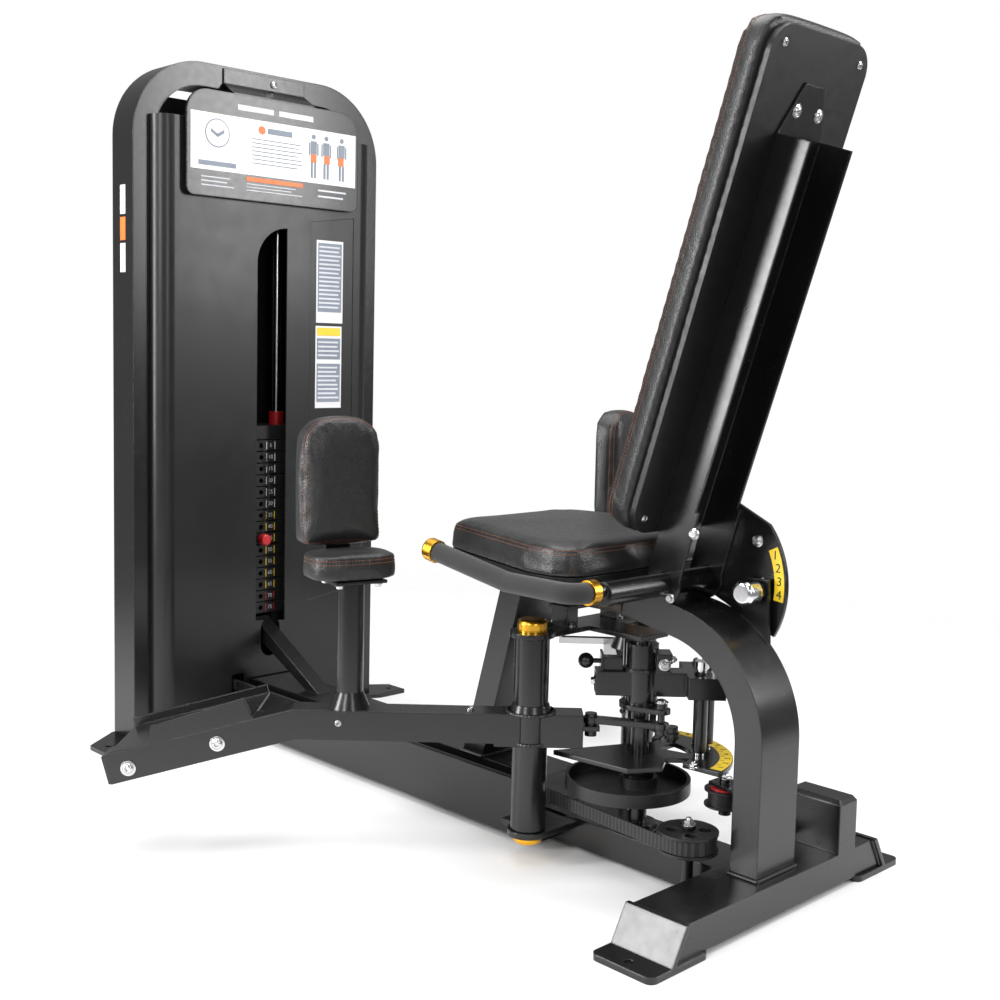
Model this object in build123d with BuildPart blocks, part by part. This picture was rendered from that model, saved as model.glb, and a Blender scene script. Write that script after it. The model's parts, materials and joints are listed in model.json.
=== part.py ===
from build123d import *
import math
import os

# Seated hip adductor and abductor machine with a selectorised weight tower.
# Frame: +Z up, +Y from the floor anchors under the back post towards the tower,
# +X to the seated user's right.  The origin is on the floor, midway between the
# two rear floor anchor holes.  All sizes are millimetres.

WALL = 3.0
GAP = 0.05
PLATE = 8.0

# Floor frame
FLOOR_Z = 10.0
CROSS_HALF = 262.0
CROSS_DEPTH = 100.0
CROSS_TOP = 60.0
FOOT_TIP = 330.0
REAR_HOLE_X = 311.0
HOLE_R = 7.0
BEAM_HALF = 50.0
BEAM_FRONT_TOP = 110.0
BEAM_STEP_Y = 425.0
TOWER_Y0 = 1367.0
TOWER_Y1 = 1453.0
GUARD_X = -98.0

# Weight tower
TOWER_HALF = 318.0
TOWER_TOP = 1450.0
HOOP_W = 50.0
HOOP_R = 165.0
SHROUD_Y = 1330.0
SHROUD_HALF = 281.0
SHROUD_TOP = 1325.0
SHROUD_SKIN = 4.0
REAR_SHROUD_Y = 1492.0
WINDOW_HALF = 39.0
WINDOW_Z0 = 232.0
WINDOW_Z1 = 1114.0
STACK_Y = 1417.0
ROD_X = 72.0
ROD_R = 9.5
CROWN_Z0 = 1240.0
CROWN_Z1 = 1280.0
PLATE_HALF_X = 135.0
PLATE_HALF_Y = 48.0
PLATE_T = 24.0
PLATE_PITCH = 26.5
PLATE_COUNT = 15
LIFTED_COUNT = 9
FIRST_PLATE_Z = 629.0
BORE_R = 11.0
SELECT_R = 10.0
PIN_R = 4.5

# Back post, seat frame and hinge tube
POST_Y = -4.0
POST_HALF = 50.0
POST_T = 50.0
BEND_R = 175.0
BEND_Z = 260.0
BEND_ANGLE = 80.0
TOP_RUN = 111.0
HINGE_Y = 165.0
HINGE_Z = 490.0
HINGE_R = 19.0
HINGE_HALF = 200.0
SEAT_Z0 = 510.0
SEAT_Z1 = 560.0
LEAN = 18.0

# Leg arms
ARM_PIVOT = (-140.0, 368.0)
ARM_ANGLE = 135.73
ARM_H = 25.0
ARM_Z = 232.0
ARM_REAR = -87.0
ARM_BEND = 392.0
ARM_DROP = 15.5
ARM_FOOT = 318.0
HUB_R = 29.5
SHAFT_R = 20.0
HUB_Z0 = 58.0
HUB_Z1 = 383.0
KNEE_S = 301.0
KNEE_TURN = -14.3
KNEE_POST_R = 22.0
KNEE_PLATE_Z = 470.0
REST_Z0 = 478.0
REST_Z1 = 522.0
KNEE_PAD_TOP = 745.0

# Centre drive
POST_X = 0.0
DRIVE_Y = 247.0
DRIVE_R = 15.0
DRIVE_HUB_R = 27.0
LEVER_ANGLE = -44.27
CAM_R = 105.0
CAM_Z0 = 126.0
CAM_Z1 = 148.0
RANGE_Z0 = 180.0
RANGE_T = 8.0
IDLER = (49.0, 105.0)
IDLER_R = 34.0
DRUM = (-75.0, 83.0)
DRUM_R = 42.0
BELT_T = 3.0
BELT_Z0 = 90.0
BELT_Z1 = 114.0

os.makedirs("parts", exist_ok=True)


def block(x0, x1, y0, y1, z0, z1, mode=Mode.ADD):
    # Box between opposite corners
    with Locations(((x0 + x1) / 2, (y0 + y1) / 2, (z0 + z1) / 2)):
        Box(x1 - x0, y1 - y0, z1 - z0, mode=mode)


def rod_z(x, y, z0, z1, r, mode=Mode.ADD):
    # Vertical cylinder
    with Locations((x, y, (z0 + z1) / 2)):
        Cylinder(r, z1 - z0, mode=mode)


def rod_x(x0, x1, y, z, r, mode=Mode.ADD):
    # Cylinder along X
    with Locations(Location(((x0 + x1) / 2, y, z), (0, 90, 0))):
        Cylinder(r, x1 - x0, mode=mode)


def rod_y(x, y0, y1, z, r, mode=Mode.ADD):
    # Cylinder along Y
    with Locations(Location((x, (y0 + y1) / 2, z), (90, 0, 0))):
        Cylinder(r, y1 - y0, mode=mode)


def save(built, name):
    # Label and write one piece
    built.part.label = name
    export_step(built.part, "parts/" + name + ".step")


def save_mirror(built, name):
    # Right-hand twin of a left-hand piece
    with BuildPart() as twin:
        mirror(built.part, about=Plane.YZ)
    save(twin, name)


# ---------------------------------------------------------------- floor frame
slant = 15.0
with BuildPart() as rear_crossbar:
    with BuildSketch(Plane.XZ.offset(-CROSS_DEPTH / 2)):
        with BuildLine():
            Polyline(
                (-CROSS_HALF - slant, FLOOR_Z), (CROSS_HALF + slant, FLOOR_Z),
                (CROSS_HALF - slant, CROSS_TOP), (-CROSS_HALF + slant, CROSS_TOP),
                close=True,
            )
        make_face()
    extrude(amount=CROSS_DEPTH)
    with BuildSketch(Plane.XZ.offset(-CROSS_DEPTH / 2 + WALL)):
        with BuildLine():
            Polyline(
                (-CROSS_HALF - slant, FLOOR_Z + WALL), (CROSS_HALF + slant, FLOOR_Z + WALL),
                (CROSS_HALF - slant, CROSS_TOP - WALL), (-CROSS_HALF + slant, CROSS_TOP - WALL),
                close=True,
            )
        make_face()
    extrude(amount=CROSS_DEPTH - 2 * WALL, mode=Mode.SUBTRACT)

# Each end: floor plate with its anchor hole and the slanted plate closing the tube
foot_half = 56.0
with BuildPart() as rear_feet:
    for side in (-1, 1):
        with BuildSketch(Plane.XZ.offset(-foot_half)):
            with BuildLine():
                Polyline(
                    (side * (CROSS_HALF + slant), FLOOR_Z),
                    (side * (CROSS_HALF - slant), CROSS_TOP),
                    (side * (CROSS_HALF - slant), CROSS_TOP + 2),
                    (side * (CROSS_HALF - slant + PLATE), CROSS_TOP + 2),
                    (side * (CROSS_HALF + slant + PLATE), FLOOR_Z),
                    close=True,
                )
            make_face()
        extrude(amount=2 * foot_half)
        with BuildSketch(Plane.XY):
            with Locations((side * (FOOT_TIP + 200) / 2, 0)):
                RectangleRounded(FOOT_TIP - 200, 2 * foot_half, 12)
        extrude(amount=FLOOR_Z)
    with Locations((-REAR_HOLE_X, 0, 0), (REAR_HOLE_X, 0, 0)):
        Cylinder(HOLE_R, 4 * FLOOR_Z, mode=Mode.SUBTRACT)
save(rear_feet, "rear_feet")

# Short spare socket post on the right end of the crossbar
with BuildPart() as stub_post:
    block(145, 195, -50, 50, CROSS_TOP, 140)
    block(145 + WALL, 195 - WALL, -50 + WALL, 50 - WALL, CROSS_TOP, 140, Mode.SUBTRACT)
with BuildPart() as stub_cap:
    with BuildSketch(Plane.XY.offset(140)):
        with Locations((170, 0)):
            Rectangle(50, 100)
    extrude(amount=8, taper=35)

with BuildPart() as main_beam:
    block(-BEAM_HALF, BEAM_HALF, CROSS_DEPTH / 2, BEAM_STEP_Y, FLOOR_Z, CROSS_TOP)
    block(-BEAM_HALF, BEAM_HALF, BEAM_STEP_Y, TOWER_Y0, FLOOR_Z, BEAM_FRONT_TOP)
    block(
        -BEAM_HALF + WALL, BEAM_HALF - WALL, CROSS_DEPTH / 2, TOWER_Y0,
        FLOOR_Z + WALL, CROSS_TOP - WALL, Mode.SUBTRACT,
    )
    block(
        -BEAM_HALF + WALL, BEAM_HALF - WALL, BEAM_STEP_Y + WALL, TOWER_Y0,
        FLOOR_Z + WALL, BEAM_FRONT_TOP - WALL, Mode.SUBTRACT,
    )

# Folded sheet guard that hides the belt run along the left side of the beam
with BuildPart() as belt_guard:
    block(GUARD_X, GUARD_X + WALL, 390, SHROUD_Y - 12, 12, 112)
    block(GUARD_X + WALL, -BEAM_HALF, 390, SHROUD_Y - 12, 12, 12 + WALL)
save(belt_guard, "belt_guard")

with BuildPart() as tower_base:
    block(-TOWER_HALF + HOOP_W, TOWER_HALF - HOOP_W, TOWER_Y0, TOWER_Y1, FLOOR_Z, 70)
    block(
        -TOWER_HALF + HOOP_W, TOWER_HALF - HOOP_W, TOWER_Y0 + WALL, TOWER_Y1 - WALL,
        FLOOR_Z + WALL, 70 - WALL, Mode.SUBTRACT,
    )

tower_hole_x = 378.0
tower_hole_y = 1366.0
with BuildPart() as tower_feet:
    for side in (-1, 1):
        with BuildSketch(Plane.XY):
            with BuildLine():
                Polyline(
                    (side * 266, 1456), (side * 266, 1364), (side * 330, 1335),
                    (side * 404, 1335), (side * 404, 1396), (side * 322, 1456),
                    close=True,
                )
            make_face()
        extrude(amount=FLOOR_Z)
    with Locations((-tower_hole_x, tower_hole_y, 0), (tower_hole_x, tower_hole_y, 0)):
        Cylinder(HOLE_R, 4 * FLOOR_Z, mode=Mode.SUBTRACT)

# ---------------------------------------------------------------- weight tower
with BuildPart() as tower_hoop:
    with BuildSketch(Plane.XZ.offset(-TOWER_Y1)):
        with Locations((0, TOWER_TOP / 2)):
            RectangleRounded(2 * TOWER_HALF, TOWER_TOP, HOOP_R)
        with Locations((0, FLOOR_Z + HOOP_R)):
            Rectangle(2 * TOWER_HALF, 2 * HOOP_R)
        with Locations((0, (TOWER_TOP - HOOP_W) / 2)):
            RectangleRounded(
                2 * (TOWER_HALF - HOOP_W), TOWER_TOP - HOOP_W, HOOP_R - HOOP_W,
                mode=Mode.SUBTRACT,
            )
        with Locations((0, HOOP_R)):
            Rectangle(2 * (TOWER_HALF - HOOP_W), 2 * HOOP_R, mode=Mode.SUBTRACT)
        with Locations((0, FLOOR_Z / 2 - HOOP_R)):
            Rectangle(4 * TOWER_HALF, FLOOR_Z + 2 * HOOP_R, mode=Mode.SUBTRACT)
    extrude(amount=TOWER_Y1 - TOWER_Y0)
    inner = HOOP_W - WALL
    with BuildSketch(Plane.XZ.offset(-TOWER_Y1 + WALL)):
        with Locations((0, TOWER_TOP / 2)):
            RectangleRounded(2 * (TOWER_HALF - WALL), TOWER_TOP - 2 * WALL, HOOP_R - WALL)
        with Locations((0, FLOOR_Z + HOOP_R)):
            Rectangle(2 * (TOWER_HALF - WALL), 2 * HOOP_R)
        with Locations((0, (TOWER_TOP - inner) / 2)):
            RectangleRounded(
                2 * (TOWER_HALF - inner), TOWER_TOP - inner, HOOP_R - inner,
                mode=Mode.SUBTRACT,
            )
        with Locations((0, HOOP_R)):
            Rectangle(2 * (TOWER_HALF - inner), 2 * HOOP_R, mode=Mode.SUBTRACT)
    extrude(amount=TOWER_Y1 - TOWER_Y0 - 2 * WALL, mode=Mode.SUBTRACT)
save(tower_hoop, "tower_hoop")

# Cross member under the hoop top; it holds the guide rods and the top pulleys
with BuildPart() as tower_crown:
    block(-TOWER_HALF + HOOP_W, TOWER_HALF - HOOP_W, 1377, 1447, CROWN_Z0, CROWN_Z1)
    block(
        -TOWER_HALF + HOOP_W, TOWER_HALF - HOOP_W, 1377 + WALL, 1447 - WALL,
        CROWN_Z0 + WALL, CROWN_Z1 - WALL, Mode.SUBTRACT,
    )
    for x in (-ROD_X, ROD_X):
        rod_z(x, STACK_Y, CROWN_Z0 - 1, CROWN_Z0 + WALL + 1, ROD_R, Mode.SUBTRACT)
    block(-16, 16, 1390, 1444, CROWN_Z0 - 1, CROWN_Z1 + 1, Mode.SUBTRACT)
    block(-154, -134, 1390, 1444, CROWN_Z0 - 1, CROWN_Z1 + 1, Mode.SUBTRACT)

# Front shroud: folded sheet with round vertical corners, slot and label recess
with BuildPart() as front_shroud:
    with BuildSketch(Plane.XY.offset(40)):
        with Locations((0, SHROUD_Y + 40)):
            RectangleRounded(2 * SHROUD_HALF, 80, 38)
        with Locations((0, SHROUD_Y + 40 + SHROUD_SKIN)):
            RectangleRounded(
                2 * (SHROUD_HALF - SHROUD_SKIN), 80, 38 - SHROUD_SKIN, mode=Mode.SUBTRACT
            )
        with Locations((0, SHROUD_Y + 66)):
            Rectangle(4 * SHROUD_HALF, 60, mode=Mode.SUBTRACT)
    extrude(amount=SHROUD_TOP - 40)
    with BuildSketch(Plane.XZ.offset(-SHROUD_Y - 30)):
        with BuildLine():
            Polyline((-WINDOW_HALF, WINDOW_Z0 + 8), (WINDOW_HALF, WINDOW_Z0))
            Line((WINDOW_HALF, WINDOW_Z0), (WINDOW_HALF, WINDOW_Z1))
            EllipticalCenterArc(
                (WINDOW_HALF, WINDOW_Z1 - 80), 2 * WINDOW_HALF, 80, start_angle=90, arc_size=90
            )
            Line((-WINDOW_HALF, WINDOW_Z1 - 80), (-WINDOW_HALF, WINDOW_Z0 + 8))
        make_face()
    extrude(amount=60, mode=Mode.SUBTRACT)
    with BuildSketch(Plane.XZ.offset(-SHROUD_Y - 1.5)):
        with BuildLine():
            Polyline((103, 270), (206, 286), (224, 330), (224, 1152), (103, 1134), close=True)
        make_face()
    extrude(amount=10, mode=Mode.SUBTRACT)
    with BuildSketch(Plane.XZ.offset(-SHROUD_Y - 30)):
        with Locations((0, 200)):
            SlotOverall(90, 50, rotation=90)
        with Locations((-84, 95)):
            Rectangle(32, 60)
    extrude(amount=60, mode=Mode.SUBTRACT)
    block(-52, 52, SHROUD_Y - 5, SHROUD_Y + 60, 30, 112, Mode.SUBTRACT)
save(front_shroud, "front_shroud")

with BuildPart() as rear_shroud:
    with BuildSketch(Plane.XY.offset(40)):
        with Locations((0, REAR_SHROUD_Y - 40)):
            RectangleRounded(2 * (SHROUD_HALF - 14), 80, 30)
        with Locations((0, REAR_SHROUD_Y - 40 - WALL)):
            RectangleRounded(2 * (SHROUD_HALF - 14 - WALL), 80, 30 - WALL, mode=Mode.SUBTRACT)
        with Locations((0, REAR_SHROUD_Y - 66)):
            Rectangle(4 * SHROUD_HALF, 55, mode=Mode.SUBTRACT)
    extrude(amount=1350)
save(rear_shroud, "rear_shroud")

with BuildPart() as placard:
    with BuildSketch(Plane.XZ.offset(-1324)):
        with Locations((0, 1275)):
            RectangleRounded(446, 220, 50)
        with Locations((0, 1195)):
            RectangleRounded(446, 60, 16)
    extrude(amount=8)

with BuildPart() as placard_panel:
    with BuildSketch(Plane.XZ.offset(-1316)):
        with Locations((0, 1278)):
            Rectangle(430, 118)
    extrude(amount=1)
save(placard_panel, "placard_panel")

# Bent sheet that ties the placard to the hoop's front face
with BuildPart() as placard_bracket:
    with BuildSketch(Plane.YZ.offset(-105)):
        with BuildLine():
            Polyline(
                (1324, 1350), (1327, 1350), (1327, 1386), (1367, 1412), (1367, 1445),
                (1363, 1445), (1363, 1414), (1324, 1389), close=True,
            )
        make_face()
    extrude(amount=210)
    rod_y(22, 1355, 1370, 1428, 5, Mode.SUBTRACT)

with BuildPart() as guide_rods:
    for x in (-ROD_X, ROD_X):
        rod_z(x, STACK_Y, 200, CROWN_Z0 + WALL, ROD_R)
save(guide_rods, "guide_rods")

# Seat for the stack: cross member, then rubber rings under the last plate
stack_floor = FIRST_PLATE_Z - PLATE_PITCH * (PLATE_COUNT - 1) - PLATE_T / 2
with BuildPart() as stack_base:
    block(-TOWER_HALF + HOOP_W, TOWER_HALF - HOOP_W, 1377, 1451, 160, 200)
    block(
        -TOWER_HALF + HOOP_W, TOWER_HALF - HOOP_W, 1377 + WALL, 1451 - WALL,
        160 + WALL, 200 - WALL, Mode.SUBTRACT,
    )
with BuildPart() as stack_cushions:
    for x in (-ROD_X, ROD_X):
        rod_z(x, STACK_Y, 200, stack_floor, 24)
        rod_z(x, STACK_Y, 199, stack_floor + 1, ROD_R + GAP, Mode.SUBTRACT)
save(stack_cushions, "stack_cushions")


def weight_plates(first, last):
    # Flat steel plates with guide bores, selector bore and a front pin hole
    for k in range(first, last + 1):
        zc = FIRST_PLATE_Z - PLATE_PITCH * (k - 1)
        block(
            -PLATE_HALF_X, PLATE_HALF_X, STACK_Y - PLATE_HALF_Y, STACK_Y + PLATE_HALF_Y,
            zc - PLATE_T / 2, zc + PLATE_T / 2,
        )
    z0 = FIRST_PLATE_Z - PLATE_PITCH * last
    z1 = FIRST_PLATE_Z - PLATE_PITCH * (first - 2)
    for x in (-ROD_X, ROD_X):
        rod_z(x, STACK_Y, z0, z1, BORE_R, Mode.SUBTRACT)
    rod_z(0, STACK_Y, z0, z1, SELECT_R + 1, Mode.SUBTRACT)
    for k in range(first, last + 1):
        zc = FIRST_PLATE_Z - PLATE_PITCH * (k - 1)
        rod_y(0, STACK_Y - PLATE_HALF_Y - 1, STACK_Y + 20, zc, PIN_R + 1, Mode.SUBTRACT)


with BuildPart() as plates_lifted:
    weight_plates(1, LIFTED_COUNT)
save(plates_lifted, "weight_plates_lifted")
with BuildPart() as plates_resting:
    weight_plates(LIFTED_COUNT + 1, PLATE_COUNT)
save(plates_resting, "weight_plates_resting")

top_plate_z0 = FIRST_PLATE_Z + PLATE_T / 2 + 2.5
top_plate_z1 = top_plate_z0 + 30
with BuildPart() as top_plate:
    block(
        -PLATE_HALF_X, PLATE_HALF_X, STACK_Y - PLATE_HALF_Y, STACK_Y + PLATE_HALF_Y,
        top_plate_z0, top_plate_z1,
    )
    for x in (-ROD_X, ROD_X):
        rod_z(x, STACK_Y, top_plate_z0 - 1, top_plate_z1 + 1, ROD_R + GAP, Mode.SUBTRACT)
    rod_z(0, STACK_Y, top_plate_z0 - 1, top_plate_z1 + 1, SELECT_R, Mode.SUBTRACT)
save(top_plate, "stack_top_plate")

with BuildPart() as selector_rod:
    rod_z(0, STACK_Y, stack_floor - 4, top_plate_z1 + 20, SELECT_R)
    for k in range(1, PLATE_COUNT + 1):
        zc = FIRST_PLATE_Z - PLATE_PITCH * (k - 1)
        rod_y(0, STACK_Y - 20, STACK_Y + 20, zc, PIN_R + 0.4, Mode.SUBTRACT)
save(selector_rod, "selector_rod")

with BuildPart() as stack_bumpers:
    for x in (-ROD_X, ROD_X):
        rod_z(x, STACK_Y, top_plate_z1, top_plate_z1 + 30, 17)
        rod_z(x, STACK_Y, top_plate_z1 - 1, top_plate_z1 + 31, ROD_R + GAP, Mode.SUBTRACT)
save(stack_bumpers, "stack_bumpers")

pin_z = FIRST_PLATE_Z - PLATE_PITCH * (LIFTED_COUNT - 1)
with BuildPart() as selector_pin:
    rod_y(0, 1362, STACK_Y + 14, pin_z, PIN_R)
    rod_y(0, 1344, 1362, pin_z, 13)
    fillet(selector_pin.edges().group_by(Axis.Y)[0], 5)
save(selector_pin, "selector_pin")

# Two pulleys above the crown turn the lifting strap over
wheel_r = 27.0
left_wheel_x = -116.0
mid_wheel_x = -28.5
wheel_z = 1330.0
with BuildPart() as top_pulley_left:
    rod_y(left_wheel_x, 1404, 1430, wheel_z, wheel_r)
    rod_y(left_wheel_x, 1402, 1404, wheel_z, wheel_r - 1)
    rod_y(left_wheel_x, 1398, 1436, wheel_z, 8)
save(top_pulley_left, "top_pulley_left")
with BuildPart() as top_pulley_right:
    rod_y(mid_wheel_x, 1404, 1430, wheel_z, wheel_r - 1)
    rod_y(mid_wheel_x, 1402, 1404, wheel_z, wheel_r - 1)
    rod_y(mid_wheel_x, 1398, 1436, wheel_z, 8)
save(top_pulley_right, "top_pulley_right")
with BuildPart() as pulley_bracket:
    for y0 in (1392, 1437):
        block(-160, 8, y0, y0 + 5, CROWN_Z1, wheel_z + 20)
    for x in (left_wheel_x, mid_wheel_x):
        rod_y(x, 1390, 1444, wheel_z, 8 + GAP, Mode.SUBTRACT)
strap_z0 = 215.0
strap_out_x = left_wheel_x - wheel_r - BELT_T
with BuildPart() as strap_riser:
    block(strap_out_x, strap_out_x + BELT_T - GAP, 1406, 1428, strap_z0, wheel_z)
with BuildPart() as strap_top:
    block(left_wheel_x, mid_wheel_x, 1406, 1428, wheel_z + wheel_r + GAP, wheel_z + wheel_r + BELT_T)
with BuildPart() as strap_drop:
    block(
        mid_wheel_x + wheel_r + GAP, mid_wheel_x + wheel_r + BELT_T, 1406, 1428,
        top_plate_z1 + 20.5, wheel_z,
    )
save(strap_drop, "strap_drop")

# Brace from the beam up into the tower
with BuildPart() as tower_brace:
    with BuildSketch(Plane.YZ.offset(-18)):
        with BuildLine():
            Polyline((1120, 110), (1166, 110), (1367, 202), (1367, 240), close=True)
        make_face()
    extrude(amount=36)

# ------------------------------------------------- back post, seat and hinge tube
bend_y = POST_Y + BEND_R
with BuildPart() as back_post:
    with BuildLine(Plane.YZ) as post_path:
        rise = Line((POST_Y, CROSS_TOP), (POST_Y, BEND_Z))
        turn = CenterArc((bend_y, BEND_Z), BEND_R, 180, -BEND_ANGLE)
        run = Line(turn @ 1, turn @ 1 + (turn % 1) * TOP_RUN)
    with BuildSketch(Plane.XY.offset(CROSS_TOP)):
        with Locations((0, POST_Y)):
            Rectangle(2 * POST_HALF, POST_T)
            Rectangle(2 * (POST_HALF - WALL), POST_T - 2 * WALL, mode=Mode.SUBTRACT)
    sweep(path=post_path.line)
    rod_x(-60, 60, HINGE_Y, HINGE_Z, HINGE_R, Mode.SUBTRACT)
post_end = turn @ 1 + (turn % 1) * TOP_RUN
end_y = post_end.Y
end_z = post_end.Z

with BuildPart() as hinge_tube:
    rod_x(-HINGE_HALF, HINGE_HALF, HINGE_Y, HINGE_Z, HINGE_R)
    rod_x(-HINGE_HALF + 4, HINGE_HALF - 4, HINGE_Y, HINGE_Z, HINGE_R - WALL, Mode.SUBTRACT)

rail_z0 = 428.0
rail_z1 = 474.0
rail_y0 = end_y + 5
rail_y1 = 545.0
with BuildPart() as seat_rail:
    block(-POST_HALF, POST_HALF, rail_y0, rail_y1, rail_z0, rail_z1)
    block(
        -POST_HALF + WALL, POST_HALF - WALL, rail_y0 + WALL, rail_y1 - WALL,
        rail_z0 + WALL, rail_z1 - WALL, Mode.SUBTRACT,
    )
with BuildPart() as rail_joint_plate:
    block(-POST_HALF, POST_HALF, end_y + 4.4, rail_y0, rail_z0 - 4, rail_z1)

leg_top_y = 512.0
leg_base_y = 602.0
with BuildPart() as seat_leg:
    with BuildSketch(Plane.YZ.offset(-POST_HALF)):
        with BuildLine():
            Polyline(
                (leg_base_y - 26, BEAM_FRONT_TOP), (leg_base_y + 26, BEAM_FRONT_TOP),
                (leg_top_y + 26, rail_z0), (leg_top_y - 26, rail_z0), close=True,
            )
        make_face()
    extrude(amount=2 * POST_HALF)
    with BuildSketch(Plane.YZ.offset(-POST_HALF + WALL)):
        with BuildLine():
            Polyline(
                (leg_base_y - 23, BEAM_FRONT_TOP), (leg_base_y + 23, BEAM_FRONT_TOP),
                (leg_top_y + 23, rail_z0), (leg_top_y - 23, rail_z0), close=True,
            )
        make_face()
    extrude(amount=2 * (POST_HALF - WALL), mode=Mode.SUBTRACT)

with BuildPart() as seat_brackets:
    for y0 in (300, 500):
        block(-130, 130, y0, y0 + 30, rail_z1, rail_z1 + 4)
        for side in (-1, 1):
            block(
                min(side * 96, side * 130), max(side * 96, side * 130), y0, y0 + 30,
                rail_z1 + 4, SEAT_Z0 - 14,
            )


def seat_outline(inset):
    # Narrow nose at the front, wide at the hips
    Polygon(
        (-130 + inset, 585 - inset), (130 - inset, 585 - inset), (155 - inset, 565 - inset),
        (236 - inset, 300), (236 - inset, 248 + inset), (222 - inset, 216 + inset),
        (190 - inset, 202 + inset), (-190 + inset, 202 + inset), (-222 + inset, 216 + inset),
        (-236 + inset, 248 + inset), (-236 + inset, 300),
        (-155 + inset, 565 - inset), align=None,
    )


with BuildPart() as seat_pad:
    with BuildSketch(Plane.XY.offset(SEAT_Z0 - 2)):
        seat_outline(0)
    extrude(amount=SEAT_Z1 - SEAT_Z0 + 2)
    fillet(seat_pad.edges().group_by(Axis.Z)[-1], 10)
save(seat_pad, "seat_pad")

# Backrest, built about its hinge and leaned back
back_plane = Plane(
    origin=(0, HINGE_Y, HINGE_Z), x_dir=(-1, 0, 0),
    z_dir=(0, math.cos(math.radians(LEAN)), math.sin(math.radians(LEAN))),
)
# In this plane x is lateral, y runs up the backrest and z points at the user's back
face_z = 103.0
pad_t = 50.0
board_t = 12.0
with BuildPart() as back_pad:
    with BuildSketch(back_plane.offset(face_z - pad_t)):
        with Locations((0, 466.5)):
            RectangleRounded(284, 805, 50)
    extrude(amount=pad_t)
    fillet(back_pad.faces().sort_by(Axis.Y)[-1].edges(), 12)
save(back_pad, "back_pad")
with BuildPart() as back_board:
    with BuildSketch(back_plane.offset(face_z - pad_t - board_t)):
        with Locations((0, 463)):
            RectangleRounded(248, 780, 42)
    extrude(amount=board_t)
save(back_board, "back_board")

channel_w = 57.0
channel_d = 61.0
channel_z = face_z - pad_t - board_t
with BuildPart() as back_channel:
    with BuildSketch(back_plane.offset(channel_z - 4)):
        with Locations((0, 393)):
            Rectangle(2 * channel_w, 626)
        with Locations((0, 744)):
            Trapezoid(2 * channel_w, 76, 66)
    extrude(amount=4)
    for side in (-1, 1):
        with BuildSketch(back_plane.offset(channel_z - channel_d)):
            with Locations((side * (channel_w - 2), 393)):
                Rectangle(4, 626)
        extrude(amount=channel_d)
    with BuildSketch(Plane.YZ.offset(-channel_w)):
        with Locations((HINGE_Y, HINGE_Z)):
            Circle(34)
        with BuildLine():
            Polyline(
                (HINGE_Y - 33, HINGE_Z + 8), (HINGE_Y - 66, HINGE_Z + 120),
                (HINGE_Y + 4, HINGE_Z + 110), (HINGE_Y + 34, HINGE_Z), close=True,
            )
        make_face()
    extrude(amount=4)
    with BuildSketch(Plane.YZ.offset(channel_w - 4)):
        with Locations((HINGE_Y, HINGE_Z)):
            Circle(34)
        with BuildLine():
            Polyline(
                (HINGE_Y - 33, HINGE_Z + 8), (HINGE_Y - 66, HINGE_Z + 120),
                (HINGE_Y + 4, HINGE_Z + 110), (HINGE_Y + 34, HINGE_Z), close=True,
            )
        make_face()
    extrude(amount=4)
    rod_x(-channel_w - 1, channel_w + 1, HINGE_Y, HINGE_Z, HINGE_R + GAP, Mode.SUBTRACT)
save(back_channel, "back_channel")

# Index sector on the right flange: four pin holes and a printed scale
sector_x = channel_w
sector_r = 155.0
pin_hole_r = 110.0
pin_angle = 183.0
hole_step = 7.6
with BuildPart() as index_sector:
    with BuildSketch(Plane.YZ.offset(sector_x)):
        with BuildLine():
            edge = CenterArc((HINGE_Y, HINGE_Z), sector_r, 140, 70)
            Line(edge @ 1, (HINGE_Y - 20, HINGE_Z - 28))
            Line((HINGE_Y - 20, HINGE_Z - 28), (HINGE_Y + 24, HINGE_Z + 24))
            Line((HINGE_Y + 24, HINGE_Z + 24), (HINGE_Y - 40, HINGE_Z + 136))
            Line((HINGE_Y - 40, HINGE_Z + 136), edge @ 0)
        make_face()
    extrude(amount=6)
    rod_x(sector_x - 1, sector_x + 7, HINGE_Y, HINGE_Z, HINGE_R + GAP, Mode.SUBTRACT)
    for k in range(4):
        a = math.radians(pin_angle + (k - 1) * hole_step)
        rod_x(
            sector_x - 1, sector_x + 7, HINGE_Y + pin_hole_r * math.cos(a),
            HINGE_Z + pin_hole_r * math.sin(a), 5, Mode.SUBTRACT,
        )
save(index_sector, "index_sector")
# Pull pin and its bracket beside the sector, fixed on the back post
pin_y = HINGE_Y + pin_hole_r * math.cos(math.radians(pin_angle))
pin_zc = HINGE_Z + pin_hole_r * math.sin(math.radians(pin_angle))
with BuildPart() as pin_bracket:
    with BuildSketch(Plane.YZ.offset(44)):
        with BuildLine():
            Polyline(
                (pin_y - 26, 380), (pin_y - 20, pin_zc + 20), (pin_y + 20, pin_zc + 20),
                (pin_y + 34, 420), close=True,
            )
        make_face()
    extrude(amount=6)
    rod_x(38, 50, pin_y, pin_zc, 13)
    rod_x(0, 51, pin_y, pin_zc, 4.8 + GAP, Mode.SUBTRACT)
    rod_x(-POST_HALF - 5, POST_HALF + 5, bend_y, BEND_Z, BEND_R + POST_T / 2, Mode.SUBTRACT)
with BuildPart() as pull_pin:
    rod_x(10, sector_x - 0.3, pin_y, pin_zc, 4.8)
    rod_x(0, 36, pin_y, pin_zc, 20)
    fillet(pull_pin.edges().filter_by(GeomType.CIRCLE).group_by(SortBy.RADIUS)[-1], 7)
save(pull_pin, "pull_pin")

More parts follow.
